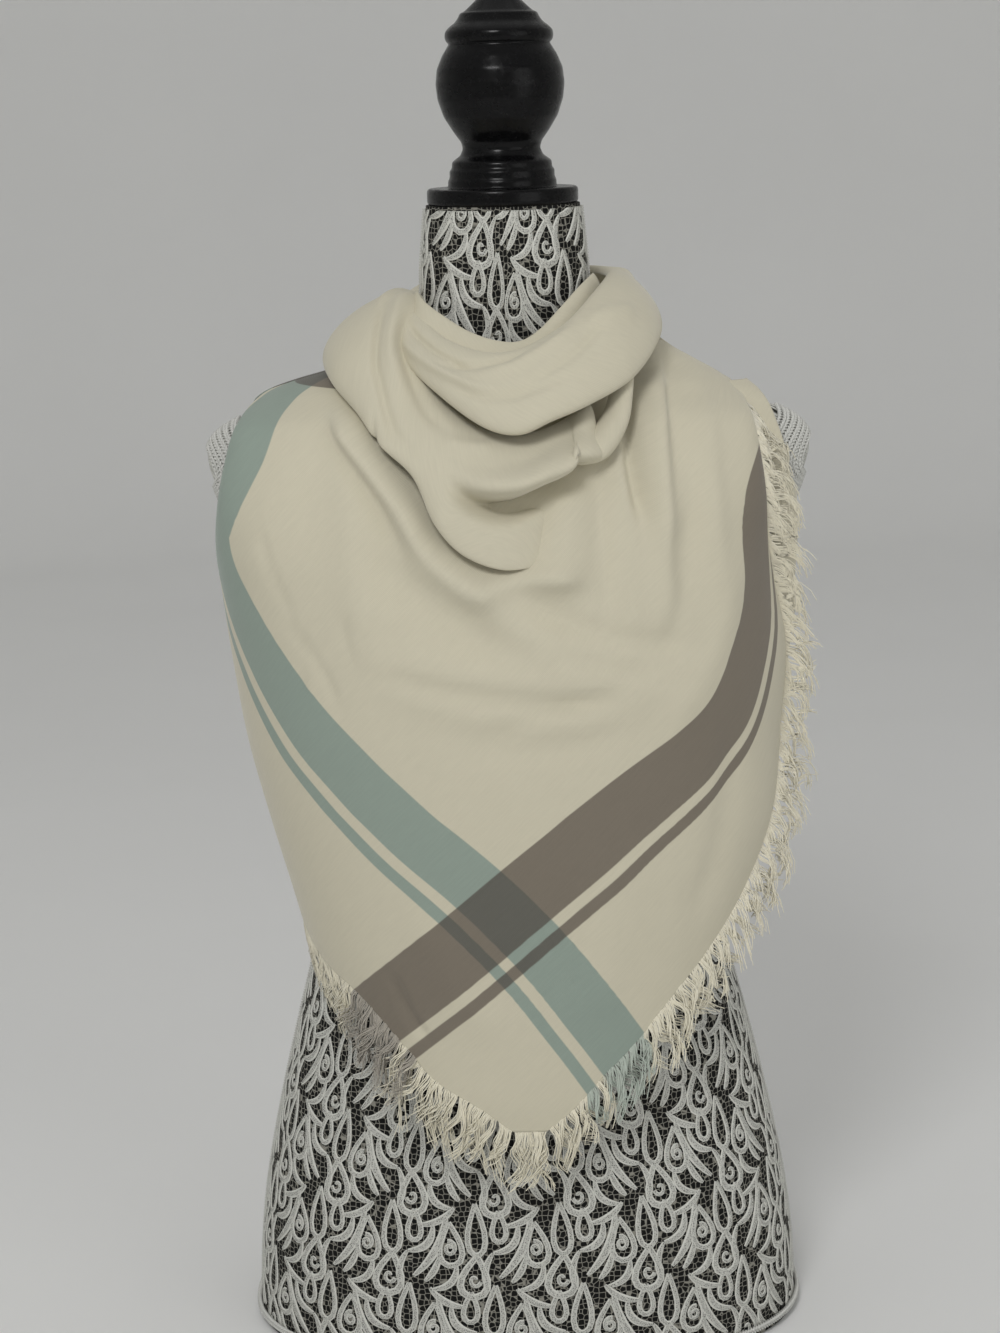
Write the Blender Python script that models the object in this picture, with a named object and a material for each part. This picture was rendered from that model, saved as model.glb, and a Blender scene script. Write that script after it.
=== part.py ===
# Square blanket scarf worn round the neck of a limbless dress form.
# Metres, +Z up, the front faces -Y. The form's flat base is at z = 0.
import bpy
import numpy as np

MM = 0.001

# Driving sizes
WALL = 1.5 * MM            # cloth, with its soft nap
GAP = 0.3 * MM             # clear space where two pieces meet
FORM_SIDES = 40
BRAID_RADIUS = 2.0 * MM
BRAID_LIFT = 0.6 * MM      # over the facets of the rounded arm cap
STRIP_GAP = 0.6 * MM       # the strip's straight cells cut across a curved edge
STRIP_WIDTH = 2.6 * MM     # the woven-through strip that carries the fringe
STRAND_ROOT = 2.4 * MM
STRAND_TIP_SHARE = 0.55    # width half-way down a strand, as a share of its root
STRAND_FALL = 0.55         # how far a strand's root turns down, as a share of its run
STRAND_LEAN = 0.22         # how far it leans out of the cloth
STRAND_SWAY = 0.1          # how far that lean differs between strands
STRAND_TURN_OUT = 0.9      # added lean where the edge has gone round the side
STRAND_TURN_IN = 0.6       # and how much less it then runs on backwards
STRAND_TIP_FALL = 0.25
STRAND_BEND = 1.2 * MM
LENGTH_STEP = 1.7          # radians between neighbours, so lengths and sways differ
SWAY_STEP = 2.4

# Grid squares along and down each stretch
FRONT_GRID = (30, 30)
BACK_GRID = (24, 14)
UNDER_GRID = (6, 12)
ROLL_GRID = (48, 9)
COLLAR_GRID = (18, 5)
COWL_GRID = (26, 17)
TUCK_GRID = (7, 6)

# Colours as linear values
CREAM = (0.62, 0.56, 0.42)
LACE = (0.30, 0.29, 0.27)
BRAID = (0.62, 0.61, 0.58)
BLACK = (0.012, 0.012, 0.012)

# Body of the form: one row a height
FORM_COLUMNS = ("height", "half_width", "half_depth", "centre_y", "power")
FORM_ROWS = (
    (0, 174.0, 114, 4, 2.3),
    (40, 172.0, 114, 4, 2.3),
    (80, 167.5, 112, 4, 2.3),
    (120, 160.0, 108, 3, 2.3),
    (160, 151.0, 102, 1, 2.25),
    (200, 141.0, 95, -2, 2.2),
    (240, 131.0, 89, -4, 2.2),
    (275, 125.0, 88, -6, 2.2),
    (310, 126.0, 92, -8, 2.2),
    (350, 132.0, 101, -10, 2.2),
    (390, 140.0, 110, -12, 2.2),
    (425, 147.0, 113, -11, 2.2),
    (460, 152.0, 108, -9, 2.2),
    (495, 160.0, 94, -5, 2.15),
    (522, 172.0, 78, 0, 2.1),
    (545, 181.0, 64, 2, 2.05),
    (562, 184.0, 55, 4, 2.1),
    (575, 175.0, 50, 5, 2.1),
    (587, 150.0, 47, 6, 2.1),
    (599, 116.0, 46, 6, 2.0),
    (613, 86.0, 46, 5, 2.0),
    (629, 63.0, 46, 4, 2.0),
    (647, 52.0, 46, 3, 2.0),
    (675, 49.5, 46, 2, 2.0),
    (708, 46.5, 46, 2, 2.0),
)

# Turned cap: the disc over the neck and the finial, radius at each height
DISC_ROWS = ((708.3, 44.5), (709.6, 45.6), (716.6, 45.6), (718.0, 44.6))
FINIAL_ROWS = (
    (718.3, 32.6), (722.8, 32.6), (723.6, 31.6), (728.4, 31.6), (729.4, 30.2),
    (733.4, 30.0), (734.6, 28.4), (737.0, 25.0), (741.0, 23.2), (745.0, 24.2),
    (751.0, 28.6), (760.0, 34.2), (770.0, 37.6), (779.0, 38.6), (788.0, 37.6),
    (796.0, 34.2), (801.0, 31.0), (802.6, 30.0), (803.6, 31.6), (806.2, 32.5),
    (809.6, 32.2), (812.0, 30.0), (815.0, 26.0), (818.6, 23.6), (820.2, 23.2),
    (821.0, 20.6), (824.6, 16.6), (829.0, 12.0), (832.0, 6.4),
)

# Front drape: one row a height. Angles run from the front, left below zero.
# The row's widest point lies at centre_y; front is the y of the cloth at x = 0.
DRAPE_COLUMNS = ("height", "left_deg", "right_deg", "left_half", "right_half",
                 "centre_y", "front", "back", "power")
FRONT_ROWS = (
    (164, -1.5, 3.5, 118, 118, -20, -127, 84, 2.5),
    (180, -9.0, 10.5, 119, 121, -20, -129, 85, 2.5),
    (198, -22.0, 17.5, 120, 124, -20, -130, 86, 2.5),
    (216, -30.0, 26.0, 122, 128, -20, -131, 88, 2.5),
    (246, -46.0, 39.0, 128, 134, -20, -133, 92, 2.5),
    (264, -66.0, 49.0, 133, 138, -20, -134, 96, 2.5),
    (298, -92.0, 62.0, 142, 150, -18, -136, 100, 2.45),
    (341, -106.0, 72.0, 154, 162, -14, -138, 104, 2.4),
    (390, -120.0, 79.0, 166, 165, -10, -138, 106, 2.4),
    (441, -120.0, 81.0, 173, 168, -16, -136, 106, 2.3),
    (484, -112.0, 83.0, 176, 159, -34, -129, 104, 2.3),
    (512, -95.0, 85.0, 177, 154, -50, -121, 90, 2.3),
    (538, -88.0, 87.0, 174, 152, -62, -110, 60, 2.3),
    (562, -88.0, 88.0, 169, 149, -62, -98, 50, 2.2),
    (584, -88.0, 88.0, 162, 145, -50, -84, 45, 2.1),
    (597, -90.0, 90.0, 150, 139, -6, -75, 40, 2.1),
    (604, -90.0, 90.0, 132, 129, -1.6, -69, 40, 2.1),
    (611, -90.0, 90.0, 106, 117, -0.8, -58, 40, 2.0),
    (619, -90.0, 90.0, 82, 103, -0.5, -53, 40, 2.0),
    (625, -90.0, 90.0, 72, 93, -0.5, -50, 40, 2.0),
)

# Back wrap: its angles run round the back from the left (-) to the right
BACK_ROWS = (
    (392, -267.0, -121.3, 166, 166, -10, -138, 106, 2.4),
    (441, -267.0, -121.3, 173, 172, -12, -136, 106, 2.3),
    (484, -267.0, -113.4, 176, 175, -10, -129, 104, 2.3),
    (512, -267.8, -99.0, 177, 176, 16, -121, 100, 2.3),
    (538, -269.0, -92.0, 172, 172, 46, -110, 94, 2.3),
    (562, -270.0, -90.0, 167, 167, 56, -98, 88, 2.2),
    (584, -270.0, -90.0, 161, 160, 48, -84, 82, 2.1),
    (597, -270.0, -90.0, 150, 139, 6, -75, 76, 2.1),
    (604, -270.0, -90.0, 132, 129, 1.6, -69, 72, 2.1),
    (611, -270.0, -90.0, 106, 117, 0.8, -58, 68, 2.0),
    (619, -270.0, -90.0, 82, 103, 0.5, -53, 64, 2.0),
    (627, -270.0, -90.0, 71, 92, 0.5, -50, 61, 2.0),
)

# Right under layer: comes over the right shoulder in front of the arm cap
UNDER_ROWS = (
    (402, 68.0, 92.0, 168, 167, -10, -44, 106, 2.4),
    (441, 68.0, 92.0, 172, 172, -12, -48, 106, 2.3),
    (484, 66.0, 92.0, 174, 175, -12, -50, 104, 2.3),
    (512, 63.0, 90.0, 174, 174, -32, -60, 60, 2.2),
    (538, 58.0, 90.0, 171, 170, -40, -54, 60, 2.2),
    (562, 58.0, 90.0, 167, 166, -37, -47, 60, 2.2),
    (584, 62.0, 90.0, 160, 159, -26, -38, 60, 2.2),
    (594, 72.0, 90.0, 154, 153, -16, -34, 60, 2.2),
    (600, 76.0, 90.0, 145, 146, -4, -28, 60, 2.2),
)

# Broad folds raised in the front drape: a ridge from one end to the other
FOLD_FULL = 0.7            # share of its length at full rise
FOLD_FADE = 0.22           # share over which each end dies away
FOLD_COLUMNS = ("x_top", "z_top", "x_low", "z_low", "half_width", "rise")
FRONT_FOLDS = (
    (84, 618, 92, 470, 11, 5.0),
    (112, 606, 121, 480, 9, 4.0),
    (62, 580, 66, 470, 10, 3.0),
    (-120, 596, -150, 500, 14, 3.0),
    (-96, 590, -86, 470, 14, 4.0),
    (-62, 520, 40, 448, 13, 5.0),
    (-70, 452, 78, 430, 12, 3.5),
)

# Cowl stretches: a row a section, upper edge a, lower edge b, and the bulge
COWL_HEART = (0, 0, 560)   # a point inside the neck that every stretch bulges away from
VALLEY_PLACE = 0.60        # where the pocket lies, as a share from edge a to edge b
VALLEY_WIDTH = 0.13
COWL_COLUMNS = ("ax", "ay", "az", "bx", "by", "bz", "bulge", "valley")
TOP_ROLL_ROWS = (
    (-59, 4, 656, -73, 0, 646, 4, 0),
    (-56, -30, 649, -67, -38, 635, 4, 0),
    (-48, -50, 638, -57.3, -64.7, 616.6, 5, 0),
    (-33, -66, 630, -39, -92, 603, 8, 0),
    (-13, -77, 626, -15, -115, 588, 9, 0),
    (6, -80, 627, 5, -122, 584, 10, 0),
    (23, -76, 634, 24, -120, 591, 10, 0),
    (37, -66, 643, 47, -110, 599, 10, 0),
    (51, -45, 656, 73, -88, 611, 10, 0),
    (61, -12, 664, 90, -47, 628, 9, 0),
    (63, 25, 665, 92, 10, 634, 9, 0),
    (52, 56, 665, 80, 72, 632, 9, 0),
    (24, 72, 664, 38, 98, 632, 9, 0),
    (-10, 74, 663, -14, 100, 632, 8, 0),
    (-40, 58, 661, -58, 80, 634, 7, 0),
    (-56, 32, 658, -73, 42, 641, 5, 0),
)
INNER_COLLAR_ROWS = (
    (-52.3, -27.4, 655, -53.3, -33.4, 643, 2.0, 0),
    (-48, -37.4, 652, -49, -45.4, 640, 2.5, 0),
    (-38, -48, 647, -38, -57, 633, 2.5, 0),
    (-22, -59, 639, -22, -69, 624, 2.5, 0),
    (-7, -65, 633, -7, -74, 618, 2.5, 0),
    (7, -66, 631, 7, -75, 617, 2.5, 0),
    (19, -62, 637, 19, -71, 622, 2.5, 0),
    (32, -52, 649, 34, -61, 634, 2.5, 0),
    (45, -34, 659, 47, -42, 645, 2.5, 0),
    (55, -10, 663, 56, -14, 651, 2.0, 0),
)
COWL_DRAPE_ROWS = (
    (-58, 42, 632, -98, 44, 614, 7, 0),
    (-60, 2, 636, -110, -2, 615, 7, 0),
    (-58, -30, 626, -104, -52, 608, 7, 0),
    (-51, -58, 614, -88, -84, 593, 7, 0),
    (-38, -74, 600, -75, -107, 577, 8, 0),
    (-27, -86, 590, -56, -124, 560, 9, 2),
    (-15, -94, 584, -43, -135, 532, 11, 7),
    (-2, -98, 580, -26, -141, 516, 12, 14),
    (12, -98, 581, -4, -144, 509, 12, 20),
    (25, -95, 584, 14, -142, 512, 11, 20),
    (35, -90, 588, 33, -130, 530, 8, 15),
    (41, -86, 590, 44, -114, 550, 6, 6),
)
RIGHT_TUCK_ROWS = (
    (60, -75, 601, 74, -83, 598, 3, 0),
    (57, -82, 590, 72, -95, 585, 4, 0),
    (53, -86.2, 582, 65, -100, 574, 5, 0),
    (50, -88.2, 577.7, 56, -100, 567, 4, 0),
)

# Fringe: where it starts and ends as shares of its edge, its strands' number and sizes
FRINGE_COLUMNS = ("name", "first", "last", "strands", "longest", "shortest")
FRINGE_LEFT = ("fringe_left", 0.015, 0.46, 34, 30, 20)
FRINGE_RIGHT = ("fringe_right", 0.012, 0.84, 63, 29, 19)
FRINGE_BACK = ("fringe_back", 0.02, 0.98, 44, 30, 20)


def clear_scene():
    for obj in list(bpy.data.objects):
        bpy.data.objects.remove(obj, do_unlink=True)


def finish(name, colour, roughness, metallic=0.0):
    material = bpy.data.materials.new(name)
    material.use_nodes = True
    shader = material.node_tree.nodes["Principled BSDF"]
    shader.inputs["Base Color"].default_value = (*colour, 1.0)
    shader.inputs["Roughness"].default_value = roughness
    shader.inputs["Metallic"].default_value = metallic
    return material


def facing_out(points, faces):
    """The faces of a closed body, turned over if they enclose less than nothing."""
    points = np.asarray(points)
    volume = 0.0
    for face in faces:
        first = points[face[0]]
        for left, right in zip(face[1:-1], face[2:]):
            volume += np.dot(first, np.cross(points[left], points[right]))
    return faces if volume > 0 else [tuple(reversed(face)) for face in faces]


def add_object(name, points, faces, material, smooth=True):
    faces = facing_out(points, faces)
    mesh = bpy.data.meshes.new(name)
    mesh.from_pydata([tuple(p) for p in points], [], faces)
    mesh.validate()
    mesh.materials.append(material)
    mesh.polygons.foreach_set("use_smooth", [smooth] * len(mesh.polygons))
    obj = bpy.data.objects.new(name, mesh)
    bpy.context.collection.objects.link(obj)
    return obj


def smooth_rows(rows, at, closed=False):
    """Catmull-Rom values of a table's rows at places counted in rows."""
    rows = np.asarray(rows, float)
    count = len(rows)
    start = np.floor(at).astype(int)
    if not closed:
        start = np.clip(start, 0, count - 2)
    part = (at - start)[:, None]

    def row(index):
        if closed:
            return rows[index % count]
        inside = rows[np.clip(index, 0, count - 1)]
        before = 2 * rows[0] - rows[1]
        after = 2 * rows[-1] - rows[-2]
        inside = np.where((index < 0)[:, None], before, inside)
        return np.where((index > count - 1)[:, None], after, inside)

    a, b, c, d = row(start - 1), row(start), row(start + 1), row(start + 2)
    return 0.5 * (2 * b + (c - a) * part + (2 * a - 5 * b + 4 * c - d) * part ** 2
                  + (3 * b - a - 3 * c + d) * part ** 3)


def named(columns, table):
    """A table's columns by name."""
    return {name: table[:, index] for index, name in enumerate(columns)}


def signed_power(value, power):
    return np.sign(value) * np.abs(value) ** power


def loop_faces(rings, sides, first=0):
    """Quads between closed rings that lie one above the other."""
    faces = []
    for ring in range(rings - 1):
        low = first + ring * sides
        for side in range(sides):
            after = (side + 1) % sides
            faces.append((low + side, low + after, low + sides + after, low + sides + side))
    return faces


def stacked_solid(name, rings, material):
    """A closed solid from rings of points with a flat cap at each end."""
    count, sides = rings.shape[:2]
    points = rings.reshape(-1, 3)
    faces = loop_faces(count, sides)
    faces.append(tuple(range(sides - 1, -1, -1)))
    faces.append(tuple(range((count - 1) * sides, count * sides)))
    return add_object(name, points, faces, material)


def form_section(height):
    """Half width, half depth, centre y and power of the form at heights in mm."""
    rows = np.array(FORM_ROWS, float)
    at = np.interp(height, rows[:, 0], np.arange(len(rows)))
    section = named(FORM_COLUMNS, smooth_rows(rows, np.atleast_1d(at)))
    return (section["half_width"], section["half_depth"],
            section["centre_y"], section["power"])


def form_normal(points):
    """The way out of the form's skin at points in mm, from how its section grows."""
    def level(spot):
        width, depth, centre, power = form_section(spot[:, 2])
        return (np.abs(spot[:, 0] / width) ** power
                + np.abs((spot[:, 1] - centre) / depth) ** power)

    step = 0.5
    ways = [level(points + step * way) - level(points - step * way) for way in np.eye(3)]
    normal = np.stack(ways, axis=1)
    return normal / np.linalg.norm(normal, axis=1)[:, None]


def form_rings(heights, sides):
    angles = np.arange(sides) / sides * 2 * np.pi
    width, depth, centre, power = (v[:, None] for v in form_section(heights))
    x = width * signed_power(np.cos(angles), 2 / power)
    y = centre + depth * signed_power(np.sin(angles), 2 / power)
    z = np.repeat(np.asarray(heights, float)[:, None], sides, axis=1)
    return np.stack([x, y, z], axis=2) * MM


def build_form():
    heights = [row[0] for row in FORM_ROWS]
    fabric = finish("lace_over_black_jersey", LACE, 0.8)
    return stacked_solid("dress_form", form_rings(heights, FORM_SIDES), fabric)


def turned_rings(rows, sides=24):
    angles = np.arange(sides) / sides * 2 * np.pi
    table = np.array(rows, float)
    x = table[:, 1:2] * np.cos(angles)
    y = table[:, 1:2] * np.sin(angles)
    z = np.repeat(table[:, :1], sides, axis=1)
    return np.stack([x, y, z], axis=2) * MM


def build_cap():
    lacquer = finish("black_lacquered_wood", BLACK, 0.25)
    stacked_solid("neck_disc", turned_rings(DISC_ROWS), lacquer)
    stacked_solid("finial", turned_rings(FINIAL_ROWS), lacquer)


def closed_tube(name, path, radius, material, sides=6):
    """A round tube along a closed path."""
    ahead = np.roll(path, -1, axis=0) - np.roll(path, 1, axis=0)
    ahead /= np.linalg.norm(ahead, axis=1)[:, None]
    middle = path.mean(axis=0)
    out = path - middle
    out -= (out * ahead).sum(axis=1)[:, None] * ahead
    out /= np.linalg.norm(out, axis=1)[:, None]
    side = np.cross(ahead, out)
    angles = np.arange(sides) / sides * 2 * np.pi
    ring = (np.cos(angles)[None, :, None] * out[:, None]
            + np.sin(angles)[None, :, None] * side[:, None])
    points = (path[:, None] + radius * ring).reshape(-1, 3)
    count = len(path)
    faces = []
    for step in range(count):
        low = step * sides
        high = (step + 1) % count * sides
        for corner in range(sides):
            after = (corner + 1) % sides
            faces.append((low + corner, high + corner, high + after, low + after))
    return add_object(name, points, faces, material)


def armhole_path(side, count=32):
    """The seam round an arm cap, just outside the form's skin."""
    turn = np.arange(count) / count * 2 * np.pi
    z = 553 + 28 * np.cos(turn)
    width, depth, centre, power = form_section(z)
    across = 0.62 * np.sin(turn)
    x = width * (1 - np.abs(across) ** power) ** (1 / power)
    y = centre + depth * across
    path = np.stack([side * x, y, z], axis=1)
    return path * MM + form_normal(path) * (BRAID_RADIUS + BRAID_LIFT)


def hem_path(count=FORM_SIDES, height=6.0):
    ring = form_rings([height], count)[0]
    out = ring * np.array([1, 1, 0])
    out /= np.linalg.norm(out, axis=1)[:, None]
    return ring + out * (BRAID_RADIUS + BRAID_LIFT)


def build_braids():
    braid = finish("plaited_braid", BRAID, 0.7)
    closed_tube("armhole_braid_left", armhole_path(-1), BRAID_RADIUS, braid)
    closed_tube("armhole_braid_right", armhole_path(1), BRAID_RADIUS, braid)
    closed_tube("hem_braid", hem_path(), BRAID_RADIUS, braid)


def fold_rise(x, z, folds):
    """Outward lift in mm of broad soft ridges at points of the cloth in mm."""
    rise = np.zeros_like(x)
    for row in folds:
        fold = dict(zip(FOLD_COLUMNS, row))
        across, down = fold["x_low"] - fold["x_top"], fold["z_low"] - fold["z_top"]
        length = np.hypot(across, down)
        dx, dz = x - fold["x_top"], z - fold["z_top"]
        along = (dx * across + dz * down) / length ** 2
        off = (dx * down - dz * across) / length
        past = np.clip(np.abs(along - 0.5) - FOLD_FULL / 2, 0, None)
        ends = np.exp(-(past / FOLD_FADE) ** 2)
        rise += fold["rise"] * np.exp(-(off / fold["half_width"]) ** 2) * ends
    return rise


def drape_surface(rows, along, down, folds=()):
    """Cloth wrapped round the form: each height is an arc of a rounded oval.

    along runs from the left end (0) to the right end (1) of every arc, and down
    counts the table's rows from the lowest."""
    table = smooth_rows(rows, np.asarray(down, float))
    row = named(DRAPE_COLUMNS, table[:, :, None])
    turn = row["right_deg"] - row["left_deg"]
    angle = np.radians(row["left_deg"] + turn * np.asarray(along)[None, :])
    sine, cosine = np.sin(angle), np.cos(angle)
    bend = 2 / row["power"]
    half = np.where(sine < 0, row["left_half"], row["right_half"])
    x = half * signed_power(sine, bend)
    ahead = (row["centre_y"] - row["front"]) * np.clip(cosine, 0, 1) ** bend
    behind = (row["back"] - row["centre_y"]) * np.clip(-cosine, 0, 1) ** bend
    y = row["centre_y"] - ahead + behind
    z = row["height"] + 0 * x
    if folds:
        facing = np.clip(cosine, 0, 1) ** 0.3
        rise = fold_rise(x, z, folds) * facing
        x = x + rise * sine
        y = y - rise * cosine
    return np.stack([x, y, z], axis=2) * MM


def cowl_surface(rows, along, around, curl, closed=False):
    """A rolled stretch: each section is an oval arc bulging off the neck."""
    row = named(COWL_COLUMNS, smooth_rows(rows, np.asarray(along, float), closed))
    upper = np.stack([row["ax"], row["ay"], row["az"]], axis=1)
    lower = np.stack([row["bx"], row["by"], row["bz"]], axis=1)
    middle = (upper + lower) / 2
    chord = (lower - upper) / 2
    course = np.gradient(middle, axis=0)
    if closed:
        course = np.roll(middle, -1, axis=0) - np.roll(middle, 1, axis=0)
    out = np.cross(course, chord)
    out /= np.linalg.norm(out, axis=1)[:, None]
    out *= np.sign((out * (middle - COWL_HEART)).sum(axis=1))[:, None]
    turn = np.radians(-curl[0] + (180 + curl[0] + curl[1]) * np.asarray(around))
    place = 0.5 - 0.5 * np.cos(turn)
    dip = np.exp(-((place - VALLEY_PLACE) / VALLEY_WIDTH) ** 2)
    lift = row["bulge"][:, None] * np.sin(turn) - row["valley"][:, None] * dip
    points = (middle[:, None] - np.cos(turn)[None, :, None] * chord[:, None]
              + lift[:, :, None] * out[:, None])
    return points * MM


def surface_normals(grid, closed=False):
    """Unit normals of a grid of points, from differences along its two ways."""
    if closed:
        first = np.roll(grid, -1, axis=0) - np.roll(grid, 1, axis=0)
    else:
        first = np.gradient(grid, axis=0)
    second = np.gradient(grid, axis=1)
    normal = np.cross(first, second)
    return normal / np.maximum(np.linalg.norm(normal, axis=2)[..., None], 1e-12)


def wall_from_grid(name, grid, material, closed=False):
    """Cloth of even thickness inside a grid of outer points, with its rim."""
    normal = surface_normals(grid, closed)
    away = grid - np.array([0, 0, 0.5])
    normal *= np.sign((normal * away).sum())
    inner = grid - normal * WALL
    rows, columns = grid.shape[:2]
    points = np.concatenate([grid.reshape(-1, 3), inner.reshape(-1, 3)])
    offset = rows * columns
    faces = []
    steps = rows if closed else rows - 1

    def spot(row, column, layer=0):
        return layer * offset + (row % rows) * columns + column

    # Both skins are cut along the same diagonal, so a bent square keeps its thickness
    for row in range(steps):
        for column in range(columns - 1):
            a, b = spot(row, column), spot(row + 1, column)
            c, d = spot(row + 1, column + 1), spot(row, column + 1)
            for skin in ((a, b, c), (a, c, d)):
                faces += [skin, tuple(index + offset for index in reversed(skin))]
    for row in range(steps):
        for column in (0, columns - 1):
            quad = [spot(row + 1, column), spot(row, column),
                    spot(row, column, 1), spot(row + 1, column, 1)]
            faces.append(tuple(quad if column == 0 else reversed(quad)))
    if not closed:
        for column in range(columns - 1):
            for row in (0, rows - 1):
                quad = [spot(row, column), spot(row, column + 1),
                        spot(row, column + 1, 1), spot(row, column, 1)]
                faces.append(tuple(quad if row == 0 else reversed(quad)))
    return add_object(name, points, faces, material)


def edge_frame(grid, column, inward):
    """Edge points of a drape with the ways off the cloth and out of it."""
    edge = grid[:, column]
    tangent = np.gradient(edge, axis=0)
    tangent /= np.linalg.norm(tangent, axis=1)[:, None]
    normal = surface_normals(grid)
    away = grid - np.array([0, 0, 0.5])
    normal = normal[:, column] * np.sign((normal * away).sum())
    off = grid[:, column] - grid[:, column + inward]
    off -= (off * tangent).sum(axis=1)[:, None] * tangent
    off /= np.linalg.norm(off, axis=1)[:, None]
    normal = normal - (normal * tangent).sum(axis=1)[:, None] * tangent
    normal -= (normal * off).sum(axis=1)[:, None] * off
    normal /= np.linalg.norm(normal, axis=1)[:, None]
    return edge, off, normal


def build_fringe(row, frame, material, facing=1):
    """A narrow strip just off the cloth's edge, with a strand from every other cell.

    Where the edge has turned to the far side, its strands lean out of the cloth."""
    fringe = dict(zip(FRINGE_COLUMNS, row))
    strands = fringe["strands"]
    spread = fringe["longest"] - fringe["shortest"]
    edge, off, normal = frame
    run = np.r_[0, np.cumsum(np.linalg.norm(np.diff(edge, axis=0), axis=1))]
    first, last = fringe["first"] * run[-1], fringe["last"] * run[-1]
    cells = 2 * strands - 1
    pitch = (last - first - STRAND_ROOT) / (strands - 1)
    marks = [first]
    for cell in range(cells):
        marks.append(marks[-1] + (STRAND_ROOT if cell % 2 == 0 else pitch - STRAND_ROOT))
    marks = np.array(marks)

    def at(values):
        return np.stack([np.interp(marks, run, values[:, k]) for k in range(3)], axis=1)

    base, away, out = at(edge), at(off), at(normal)
    away /= np.linalg.norm(away, axis=1)[:, None]
    out /= np.linalg.norm(out, axis=1)[:, None]
    near = base + away * STRIP_GAP
    far = near + away * STRIP_WIDTH
    rings = np.stack([near, far, far - out * WALL, near - out * WALL], axis=1)
    points = [tuple(p) for p in rings.reshape(-1, 3)]
    faces = [(0, 1, 2, 3), tuple(4 * len(rings) - 4 + k for k in (3, 2, 1, 0))]
    down = np.array([0, 0, -1.0])
    for cell in range(cells):
        low, high = 4 * cell, 4 * cell + 4
        for corner in (0, 2, 3):
            after = (corner + 1) % 4
            faces.append((low + corner, high + corner, high + after, low + after))
        root = [low + 1, high + 1, high + 2, low + 2]
        if cell % 2:
            faces.append(tuple(root))
            continue
        index = cell // 2
        swing = np.sin(index * SWAY_STEP)
        share = 0.5 + 0.5 * np.sin(index * LENGTH_STEP)
        length = (fringe["shortest"] + spread * share) * MM
        turned = max(0.0, away[cell][1] * facing)
        lean = STRAND_LEAN + STRAND_SWAY * swing + STRAND_TURN_OUT * turned
        way = away[cell] * (1 - STRAND_TURN_IN * turned) + STRAND_FALL * down + lean * out[cell]
        way /= np.linalg.norm(way)
        corners = np.array([points[k] for k in root])
        middle = corners.mean(axis=0)
        halfway = middle + way * length / 2 + out[cell] * STRAND_BEND * swing
        ring = halfway + (corners - middle) * STRAND_TIP_SHARE
        tip = middle + (way + STRAND_TIP_FALL * down) * length
        start = len(points)
        points += [tuple(p) for p in ring] + [tuple(tip)]
        for corner in range(4):
            after = (corner + 1) % 4
            faces.append((root[corner], root[after], start + after, start + corner))
            faces.append((start + corner, start + after, start + 4))
    return add_object(fringe["name"], points, faces, material, smooth=False)


def even(steps, last=1.0):
    return np.linspace(0, last, steps)


def build_drape(name, rows, grid, material, folds=()):
    along, down = grid
    points = drape_surface(rows, even(along), even(down, len(rows) - 1), folds)
    wall_from_grid(name, points, material)
    return points


def build_cowl(name, rows, grid, curl, material):
    along, around = grid
    points = cowl_surface(rows, even(along, len(rows) - 1), even(around), curl)
    wall_from_grid(name, points, material)


def build_top_roll(material):
    along, around = ROLL_GRID
    places = np.arange(along) * len(TOP_ROLL_ROWS) / along
    points = cowl_surface(TOP_ROLL_ROWS, places, even(around), (20, 18), closed=True)
    wall_from_grid("top_roll", points, material, closed=True)


def build_scarf():
    cloth = finish("brushed_woven_cloth", CREAM, 0.9)
    front = build_drape("front_drape", FRONT_ROWS, FRONT_GRID, cloth, FRONT_FOLDS)
    back = build_drape("back_wrap", BACK_ROWS, BACK_GRID, cloth)
    build_drape("right_under_layer", UNDER_ROWS, UNDER_GRID, cloth)
    build_top_roll(cloth)
    build_cowl("inner_collar", INNER_COLLAR_ROWS, COLLAR_GRID, (0, 0), cloth)
    build_cowl("cowl_drape", COWL_DRAPE_ROWS, COWL_GRID, (5, 25), cloth)
    build_cowl("right_tuck", RIGHT_TUCK_ROWS, TUCK_GRID, (10, 20), cloth)
    build_fringe(FRINGE_LEFT, edge_frame(front, 0, 1), cloth)
    build_fringe(FRINGE_RIGHT, edge_frame(front, -1, -1), cloth)
    build_fringe(FRINGE_BACK, edge_frame(back.transpose(1, 0, 2), 0, 1), cloth, facing=0)


clear_scene()
build_form()
build_cap()
build_braids()
build_scarf()
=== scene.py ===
import bpy
import numpy as np
from mathutils import Matrix, Vector


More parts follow.
